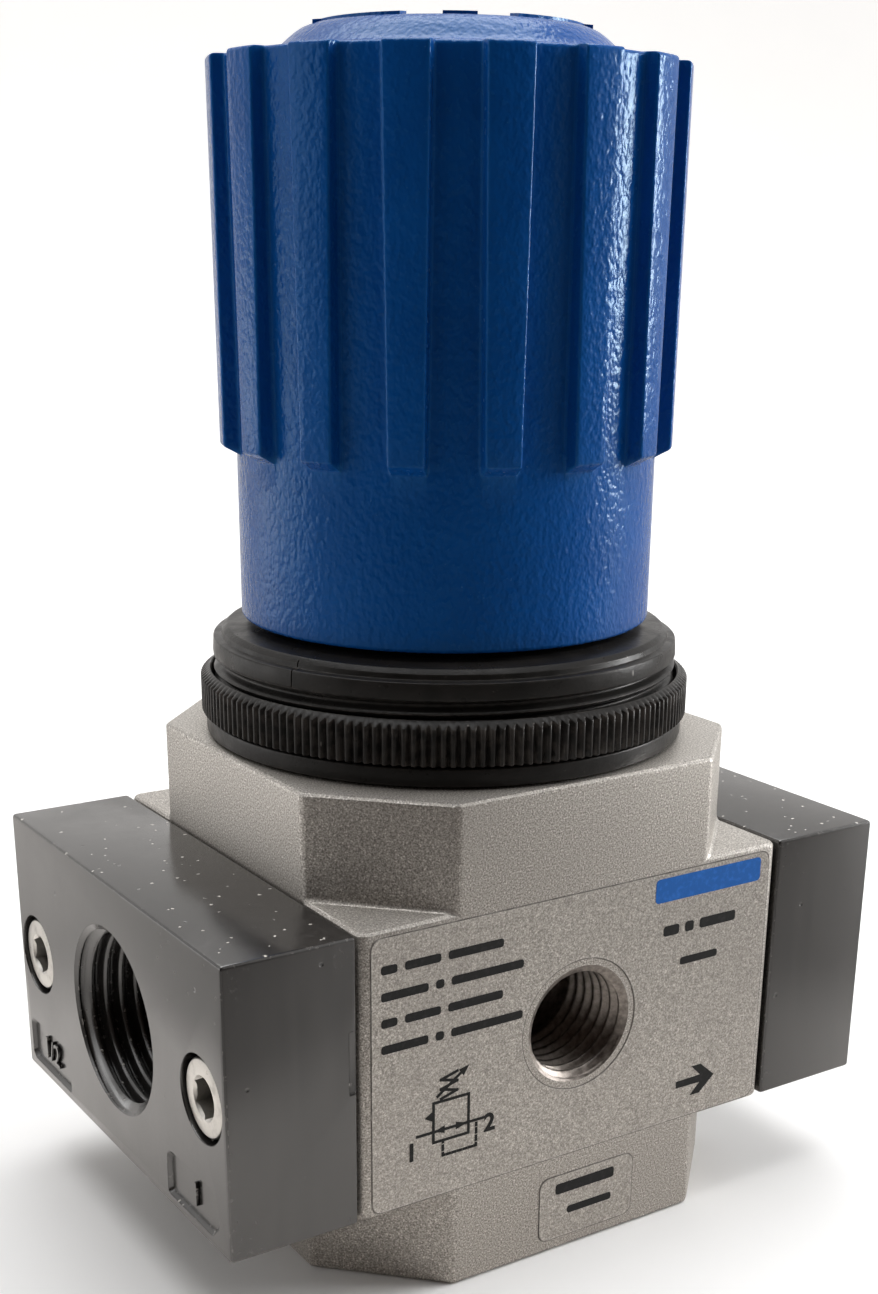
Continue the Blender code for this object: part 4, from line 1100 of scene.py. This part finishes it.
def make_spring(node, wire, mean_radius, turns, finish):
    """Compression spring on the frame's own path: one closed turn at each end, round wire."""
    low, high = (corner.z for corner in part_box(node))
    dead = wire * 1.03
    active = turns - 2.0
    pitch = (high - low - wire - 2.0 * dead) / active
    steps, sides = 56, 16
    rows = []
    for i in range(int(turns * steps) + 1):
        turn = i / steps
        z = low + wire / 2 + dead * min(turn, 1.0) + pitch * min(max(turn - 1.0, 0.0), active)
        z += dead * max(turn - 1.0 - active, 0.0)
        around = math.tau * turn
        outward = Vector((math.cos(around), math.sin(around), 0.0))
        centre = outward * mean_radius + Vector((0.0, 0.0, z))
        rows.append([
            centre + (outward * math.cos(a) + Vector((0.0, 0.0, math.sin(a)))) * (wire / 2)
            for a in (math.tau * k / sides for k in range(sides))
        ])
    spring = loft(node + "_wire", rows, finish)
    return smooth(spring, 50.0)


# ---------------------------------------------------------------- bonnet, ring nut and knob


def make_bonnet(finish):
    flange = BONNET_HIGH.x
    skirt_low = BONNET_LOW.z
    tower_top = BONNET_HIGH.z
    collar = 26.0 * MM
    root = 25.1 * MM
    flange_high = RING_LOW.z - 0.3 * MM
    bonnet = turned("bonnet", [
        (6.5 * MM, tower_top),
        (18.6 * MM, tower_top, 0.8 * MM),
        (18.6 * MM, 67.4 * MM, 0.5 * MM),
        (21.8 * MM, 67.35 * MM, 0.3 * MM),
        (22.3 * MM, 67.15 * MM),
        (24.4 * MM, 66.9 * MM, 0.35 * MM),
        (24.95 * MM, 66.4 * MM, 0.15 * MM),
        (25.05 * MM, 65.85 * MM, 0.12 * MM),
        (25.95 * MM, 65.75 * MM, 0.2 * MM),
        (26.05 * MM, 63.95 * MM, 0.2 * MM),
        (root, 63.6 * MM, 0.1 * MM),
        (root, flange_high),
        (flange, flange_high, 0.15 * MM),
        (flange, TOP + 0.3 * MM, 0.15 * MM),
        (23.1 * MM, TOP + 0.3 * MM),
        (23.1 * MM, skirt_low, 0.2 * MM),
        (17.0 * MM, skirt_low, 0.2 * MM),
        (17.0 * MM, TOP),
        (15.5 * MM, TOP + 2.0 * MM),
        (15.5 * MM, 102.0 * MM),
        (6.5 * MM, 102.0 * MM),
    ], ring=True, segments=144)
    tap = thread("collar_thread", collar, root - 0.05 * MM, 1.5 * MM, flange_high + 0.6 * MM, 62.9 * MM, 144)
    near, far = root - 0.6 * MM, root + 3.0 * MM
    core = turned("core", [
        (near, 64.5 * MM),
        (far, 64.5 * MM),
        (far, 56.0 * MM),
        (near, 56.0 * MM),
    ], ring=True, segments=144)
    cut(tap, core, operation='INTERSECT')
    cut(bonnet, tap, operation='UNION')
    marks = [box("ear_slots", (-17.2 * MM, -2.5 * MM, 70.0 * MM), (17.2 * MM, 2.5 * MM, 98.0 * MM))]
    width = 0.08 * MM
    for height, size in ((66.4 * MM, 0.5 * MM), (64.9 * MM, 0.9 * MM)):
        mark = box("mould_mark", (24.7 * MM, -width, height - size), (27.0 * MM, width, height + size))
        marks.append(place(mark, Matrix.Rotation(math.radians(-160.0), 4, 'Z')))
    cut(bonnet, *marks)
    paint(bonnet, finish)
    return smooth(bonnet, 35.0)


def make_ring_nut(finish):
    """Ring with fine straight knurling that runs out on its top chamfer."""
    teeth = 172
    low, high = RING_LOW.z, RING_HIGH.z
    crest, root, bore = RING_HIGH.x, RING_HIGH.x - 0.55 * MM, 26.3 * MM
    shape = (crest - 0.06 * MM, crest, crest, crest - 0.06 * MM, root + 0.08 * MM, root, root + 0.08 * MM)
    spots = (0.0, 0.10, 0.28, 0.38, 0.55, 0.69, 0.83)
    columns = []
    for tooth in range(teeth):
        for spot, radius in zip(spots, shape):
            columns.append((math.tau * (tooth + spot) / teeth, radius))

    def chamfer(radius):
        """Height of the top chamfer's cone at a radius."""
        return high - 0.12 * MM - (radius - bore - 0.25 * MM) * 0.62

    def row(radius_of, height_of):
        return [
            (radius_of(r) * math.cos(a), radius_of(r) * math.sin(a), height_of(r)) for a, r in columns
        ]

    rows = [
        row(lambda r: bore, lambda r: high - 0.15 * MM),
        row(lambda r: bore + 0.15 * MM, lambda r: high),
        row(lambda r: bore + 0.3 * MM, lambda r: high - 0.08 * MM),
        row(lambda r: r - 0.05 * MM, lambda r: chamfer(r) + 0.02 * MM),
        row(lambda r: r, lambda r: chamfer(r) - 0.05 * MM),
        row(lambda r: r, lambda r: (low + high) / 2),
        row(lambda r: r, lambda r: low + 0.12 * MM),
        row(lambda r: r - 0.12 * MM, lambda r: low),
        row(lambda r: bore + 0.2 * MM, lambda r: low),
        row(lambda r: bore, lambda r: low + 0.2 * MM),
    ]
    return smooth(rings("ring_nut", rows, finish, ring=True), 40.0)


def rib_section(width, height):
    """Half of one rib's cross-section: (distance out from the rib's edge, height over the valley)."""
    fillet = 0.4 * MM
    corner = 0.28 * MM
    draft = 0.12 * MM
    points = [(2.1 * MM, 0.0), (1.0 * MM, 0.0)]
    for k in range(4):
        a = math.radians(30.0 * k)
        points.append((fillet * (1.0 - math.sin(a)) + draft, fillet * (1.0 - math.cos(a))))
    for k in range(5):
        b = math.radians(22.5 * k)
        points.append((corner * (math.cos(b) - 1.0), height - corner * (1.0 - math.sin(b))))
    points.append((-width * 0.27, height))
    return points


def knob_row(z, lift=1.0, inset=0.0):
    """One row round the knob at a height, with the ribs raised by lift and all pulled in by inset."""
    share = min(1.0, max(0.0, (z - RIB_LOW) / (KNOB_RIM - RIB_LOW)))
    width = (3.6 + 0.85 * share) * MM
    valley = SKIRT_RADIUS + (RIM_VALLEY - SKIRT_RADIUS) * share
    height = RIB_RADIUS + (RIM_RADIUS - RIB_RADIUS) * share - valley
    mean_radius = SKIRT_RADIUS + (RIB_RADIUS - SKIRT_RADIUS) / 2
    half = rib_section(width, height)
    cell = [(-(width / 2 + s) / mean_radius, h) for s, h in half]
    cell.append((0.0, height))
    cell += [((width / 2 + s) / mean_radius, h) for s, h in reversed(half)]
    cell.append((math.pi / RIBS, 0.0))
    row = []
    for k in range(RIBS):
        centre = RIB_PHASE + math.tau * k / RIBS
        for offset, h in cell:
            angle = centre + offset
            radius = valley + h * lift - inset
            row.append((radius * math.cos(angle), radius * math.sin(angle), z))
    return row


def dome_height(radius):
    """Height of the knob's crowned top at a radius, inside its shoulder."""
    return KNOB_HIGH.z - 0.1 * MM - 0.85 * MM * (radius / CROWN_RADIUS) ** 1.6


def make_knob(finish):
    low = KNOB_LOW.z
    rows = []

    def round_row(radius, z):
        rows.append([
            (radius * x / length, radius * y / length, z)
            for x, y, _ in knob_row(RIB_LOW)
            for length in (math.hypot(x, y),)
        ])

    apex = KNOB_HIGH.z + 0.15 * MM
    rows.append([(0.0, 0.0, apex)])
    for radius, z in ((1.2, apex), (2.0, apex - 0.03 * MM), (2.35, apex - 0.12 * MM)):
        round_row(radius * MM, z)
    for radius in (2.6, 4.0, 6.5, 9.0, 11.5, 13.2, 14.4):
        round_row(radius * MM, dome_height(radius * MM))
    shoulder = dome_height(CROWN_RADIUS)
    for outward, drop in (
        (0.0, 0.04), (0.6, 0.28), (1.2, 0.66), (1.9, 1.2), (2.5, 1.72), (3.1, 2.25), (3.8, 2.55),
    ):
        round_row(CROWN_RADIUS + outward * MM, shoulder - drop * MM)
    for radius, lift in ((19.8, 0.24), (21.6, 0.08)):
        round_row(radius * MM, KNOB_RIM + lift * MM)
    rim = 0.42 * MM
    for k in range(6):
        a = math.radians(18.0 * k)
        rows.append(knob_row(KNOB_RIM - rim * (1.0 - math.cos(a)), 1.0, rim * (1.0 - math.sin(a))))
    for z in (120.0, 114.0, 108.0, 102.0, 96.0, 90.0):
        rows.append(knob_row(z * MM))
    for z, lift in ((86.75, 1.0), (86.55, 0.97), (86.4, 0.88), (85.75, 0.2), (85.6, 0.06), (85.4, 0.0)):
        rows.append(knob_row(z * MM, lift))
    for z in (82.0, 78.0, 74.0, 70.0):
        rows.append(knob_row(z * MM, 0.0))
    edge = 0.45 * MM
    for k in range(5):
        a = math.radians(22.5 * k)
        rows.append(knob_row(low + edge * (1.0 - math.sin(a)), 0.0, edge * (1.0 - math.cos(a))))
    for radius, z in (
        (21.0 * MM, low), (20.7 * MM, low + 0.3 * MM), (20.7 * MM, 120.3 * MM), (20.0 * MM, 121.0 * MM),
        (9.6 * MM, 121.5 * MM), (9.0 * MM, 121.0 * MM), (9.0 * MM, 108.3 * MM), (8.7 * MM, 108.0 * MM),
        (3.0 * MM, 108.0 * MM),
    ):
        round_row(radius, z)
    rows.append([(0.0, 0.0, 108.0 * MM)])
    knob = rings("knob", rows, finish)
    socket = rod("socket", 10.4 * MM / math.sqrt(3.0), 100.0 * MM, 121.0 * MM, 6)
    cut(knob, socket)
    paint(knob, finish)
    return smooth(knob, 38.0)


def make_knob_arrows(finish):
    """Two raised curved arrows on the crown that show the turning directions, and a raised mark between."""
    work = bmesh.new()
    middle = 13.0 * MM
    thickness = 0.3 * MM

    def raised(stations):
        """Raised curved strip through (angle in degrees, half width) stations."""
        sections = []
        for degrees, half in stations:
            angle = math.radians(degrees)
            section = []
            for radius, lift in (
                (middle - half, -0.3 * MM), (middle - half, thickness),
                (middle + half, thickness), (middle + half, -0.3 * MM),
            ):
                height = dome_height(radius) + lift
                section.append(work.verts.new((radius * math.cos(angle), radius * math.sin(angle), height)))
            sections.append(section)
        for a, b in zip(sections[:-1], sections[1:]):
            for k in range(4):
                work.faces.new((a[k], a[(k + 1) % 4], b[(k + 1) % 4], b[k]))
        work.faces.new(sections[0])
        work.faces.new(list(reversed(sections[-1])))

    for turn in (1.0, -1.0):
        tail, neck, tip = (ARROWS_MIDDLE + turn * step for step in (24.0, 70.0, 88.0))
        stations = [(tail + (neck - tail) * i / 12, 0.85 * MM) for i in range(13)]
        stations += [(neck + (tip - neck) * i / 6, (1.7 * (1.0 - i / 6) + 0.05) * MM) for i in range(7)]
        raised(stations)
    raised([(ARROWS_MIDDLE + step, 0.6 * MM) for step in (-7.0, -3.5, 0.0, 3.5, 7.0)])
    return smooth(from_bmesh("knob_arrows", work, finish), 30.0)


# ---------------------------------------------------------------- stage


def floor_finish():
    """Floor that looks pale and matt to the camera.

    The light it throws back on the object is strongest close to the object's foot and on the left behind
    it, and the sweep far behind glows.
    """
    n = Nodes("pale_floor")
    seen = n.add("LightPath").outputs["Is Camera Ray"]
    uneven = n.remap(n.noise(30.0, 3.0), 0.3, 0.7)
    pale = n.mix(uneven, rgb(0.86, 0.86, 0.86), rgb(0.89, 0.89, 0.89))
    away = n.add("VectorMath", {"operation": 'LENGTH'})
    n.feed(away.inputs[0], n.place)
    leftward = n.towards((-0.54, 0.84, 0.0))
    near = n.remap(away.outputs["Value"], 0.08, 0.14, 1.0, 0.0)
    foot = n.math('MULTIPLY', near, n.remap(leftward, -0.08, 0.05, 0.52, 1.0))
    side = n.remap(leftward, 0.0, 0.12, FLOOR_FRONT, FLOOR_LEFT)
    bounce = n.math('MAXIMUM', foot, side)
    warm = n.mix(bounce, rgb(0.0, 0.0, 0.0), rgb(1.0, 0.96, 0.92))
    n.set(Base_Color=n.mix(seen, warm, pale), Roughness=0.75)
    n.set(Emission_Color=rgb(1.0, 0.99, 0.975))
    n.set(Emission_Strength=n.remap(n.towards((0.56, 0.83, 0.0)), 0.25, 1.0, 0.0, BACKDROP_GLOW))
    return n.material


def make_stage():
    floor = floor_finish()
    profile = [(-1.2, 0.0)]
    for k in range(13):
        a = math.radians(7.5 * k)
        profile.append((0.9 + 0.6 * math.sin(a), 0.6 * (1.0 - math.cos(a))))
    profile.append((1.5, 2.4))
    work = bmesh.new()
    columns = [[work.verts.new((x, y, z)) for y, z in profile] for x in (-2.5, 2.5)]
    for k in range(len(profile) - 1):
        work.faces.new((columns[0][k], columns[1][k], columns[1][k + 1], columns[0][k + 1]))
    sweep = from_bmesh("backdrop", work, floor)
    sweep.data.transform(Matrix.Rotation(math.radians(-34.0), 4, 'Z'))
    smooth(sweep, 60.0)


def area_light(name, place_at, look_at, size, power, diffuse=True, glossy=True):
    data = bpy.data.lights.new(name, 'AREA')
    data.shape = 'RECTANGLE'
    data.size, data.size_y = size
    data.energy = power
    lamp = bpy.data.objects.new(name, data)
    lamp.location = place_at
    lamp.rotation_euler = (Vector(look_at) - Vector(place_at)).to_track_quat('-Z', 'Y').to_euler()
    lamp.visible_camera = False
    lamp.visible_diffuse = diffuse
    lamp.visible_glossy = glossy
    bpy.context.scene.collection.objects.link(lamp)


def make_world():
    """Pale surroundings, dimmer on the camera's side as in a studio with the room light off."""
    world = bpy.data.worlds.new("studio")
    world.use_nodes = True
    tree = world.node_tree
    background = tree.nodes["Background"]
    place = tree.nodes.new("ShaderNodeTexCoord")
    dot = tree.nodes.new("ShaderNodeVectorMath")
    dot.operation = 'DOT_PRODUCT'
    dot.inputs[1].default_value = CAMERA_SIDE
    tree.links.new(place.outputs["Generated"], dot.inputs[0])
    ramp = tree.nodes.new("ShaderNodeValToRGB")
    tree.links.new(dot.outputs["Value"], ramp.inputs["Fac"])
    stops = ((0.05, (1.0, 0.985, 0.965)), (0.40, (0.60, 0.585, 0.57)), (0.72, (0.042, 0.028, 0.022)))
    elements = ramp.color_ramp.elements
    elements.new(0.5)
    for element, (position, colour) in zip(elements, stops):
        element.position = position
        element.color = rgb(*colour)
    seen = tree.nodes.new("ShaderNodeLightPath")
    pale = tree.nodes.new("ShaderNodeMix")
    pale.data_type = 'RGBA'
    tree.links.new(seen.outputs["Is Camera Ray"], pale.inputs["Factor"])
    tree.links.new(ramp.outputs["Color"], pale.inputs[6])
    pale.inputs[7].default_value = rgb(1.0, 1.0, 1.0)
    tree.links.new(pale.outputs[2], background.inputs["Color"])
    background.inputs["Strength"].default_value = 0.8
    bpy.context.scene.world = world


def make_lights():
    centre = (0.0, 0.0, 0.06)
    area_light("left", (-0.62, 0.20, 0.30), centre, (0.35, 0.5), 0.5)
    area_light("top", (0.05, 0.15, 0.75), centre, (0.7, 0.7), 5.5)
    area_light("right", (0.52, -0.19, 0.26), centre, (0.35, 0.35), 3.6, glossy=False)
    area_light("window", (0.558, -0.220, 0.20), (0.0, 0.0, 0.17), (0.12, 0.30), 3.0, diffuse=False)
    area_light("low_left", (-0.30, 0.27, 0.03), (-0.04, 0.0, 0.03), (0.3, 0.12), 0.2)


def make_camera():
    """Camera slightly above the object, at its front left."""
    data = bpy.data.cameras.new("camera")
    data.sensor_width = SENSOR
    data.lens = LENS
    data.shift_x, data.shift_y = CAMERA_SHIFT
    camera = bpy.data.objects.new("camera", data)
    camera.location = CAMERA_PLACE
    camera.rotation_euler = [math.radians(a) for a in CAMERA_TURN]
    bpy.context.scene.collection.objects.link(camera)
    bpy.context.scene.camera = camera


# ---------------------------------------------------------------- assembly


def ride(piece, body, slot, *nodes):
    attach(piece, body)
    if nodes:
        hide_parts(*nodes)


def main():
    cast = cast_metal()
    film = label_film()
    plate_black = black_metal()
    blue = blue_plastic()
    moulded = black_plastic()
    zinc = plated_steel("zinc_plate", (0.62, 0.60, 0.565), 0.26)
    steel = plated_steel("oiled_steel", (0.42, 0.42, 0.43), 0.28)
    finishes = {
        "zinc_steel": zinc, "spring_steel": steel, "brass": brass(), "rubber": rubber(),
        "white_plastic": white_plastic(), "cast_metal": cast, "label_film": film,
        "black_metal": plate_black, "blue_plastic": blue, "black_plastic": moulded,
    }
    for entry in frame["record"]["subparts"]:
        node = frame["nodes"][entry["node"]]
        paint(node, finishes[entry["material_slot"]])

    ride(make_body(cast, bare_metal()), "housing", "cast_metal", "body")
    # finish of the dark strip under each film: a painted shadow line along its edge
    shadow_line_finish = film_shadow_line()
    for name, low, high, cutout in (
        ("front", LABEL_LOW, LABEL_HIGH, LABEL_CUTOUT), ("order", ORDER_LOW, ORDER_HIGH, 0.0),
    ):
        sheet = make_film(f"{name}_film", low, high, film, cutout)
        ride(sheet, "housing", "label_film", f"{name}_label")
        # slightly larger dark strip under the film: painted shadow line along its edge
        edge = make_film(f"{name}_film_edge", low, high, shadow_line_finish, cutout, FILM_EDGE_HEIGHT, FILM_EDGE_WIDTH)
        ride(edge, "housing", "label_film")
    for piece in make_print(ink("black_ink", (0.012, 0.012, 0.012)), ink("blue_ink", (0.01, 0.12, 0.45))):
        ride(piece, "housing", "label_film")
    for port, side in (("inlet", -1), ("outlet", 1)):
        ride(make_plate(f"{port}_block", side, plate_black), "housing", "black_metal", f"{port}_plate")
        for where, y in (("front", -SCREW_Y), ("rear", SCREW_Y)):
            node = f"{port}_screw_{where}"
            screw = make_plate_screw(node, side, y, zinc)
            screw.name = f"{port}_bolt_{where}"
            ride(screw, "housing", "zinc_steel", node)
    for piece in make_port_numerals(plate_black):
        ride(piece, "housing", "black_metal")
    ride(make_rear_plug(zinc), "housing", "zinc_steel", "rear_gauge_plug")
    ride(make_bottom_plug(finishes["white_plastic"]), "housing", "white_plastic", "bottom_plug")
    rim, centre = make_diaphragm(finishes["rubber"])
    ride(rim, "housing", "rubber", "diaphragm")
    ride(centre, "diaphragm_plate", "rubber")
    for node, (wire, radius, turns, joint, travel) in SPRINGS.items():
        low, high = (corner.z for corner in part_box(node))
        spring = make_spring(node, wire, radius, turns, steel)
        ride(spring, "housing", "spring_steel", node)
        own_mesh(spring)
    ride(make_bonnet(moulded), "housing", "black_plastic", "bonnet")
    ride(make_ring_nut(moulded), "ring_nut", "black_plastic", "ring_nut")
    ride(make_knob(blue), "knob", "blue_plastic", "knob")
    ride(make_knob_arrows(blue), "knob", "blue_plastic")
    make_stage()
    make_world()
    make_lights()
    make_camera()


main()
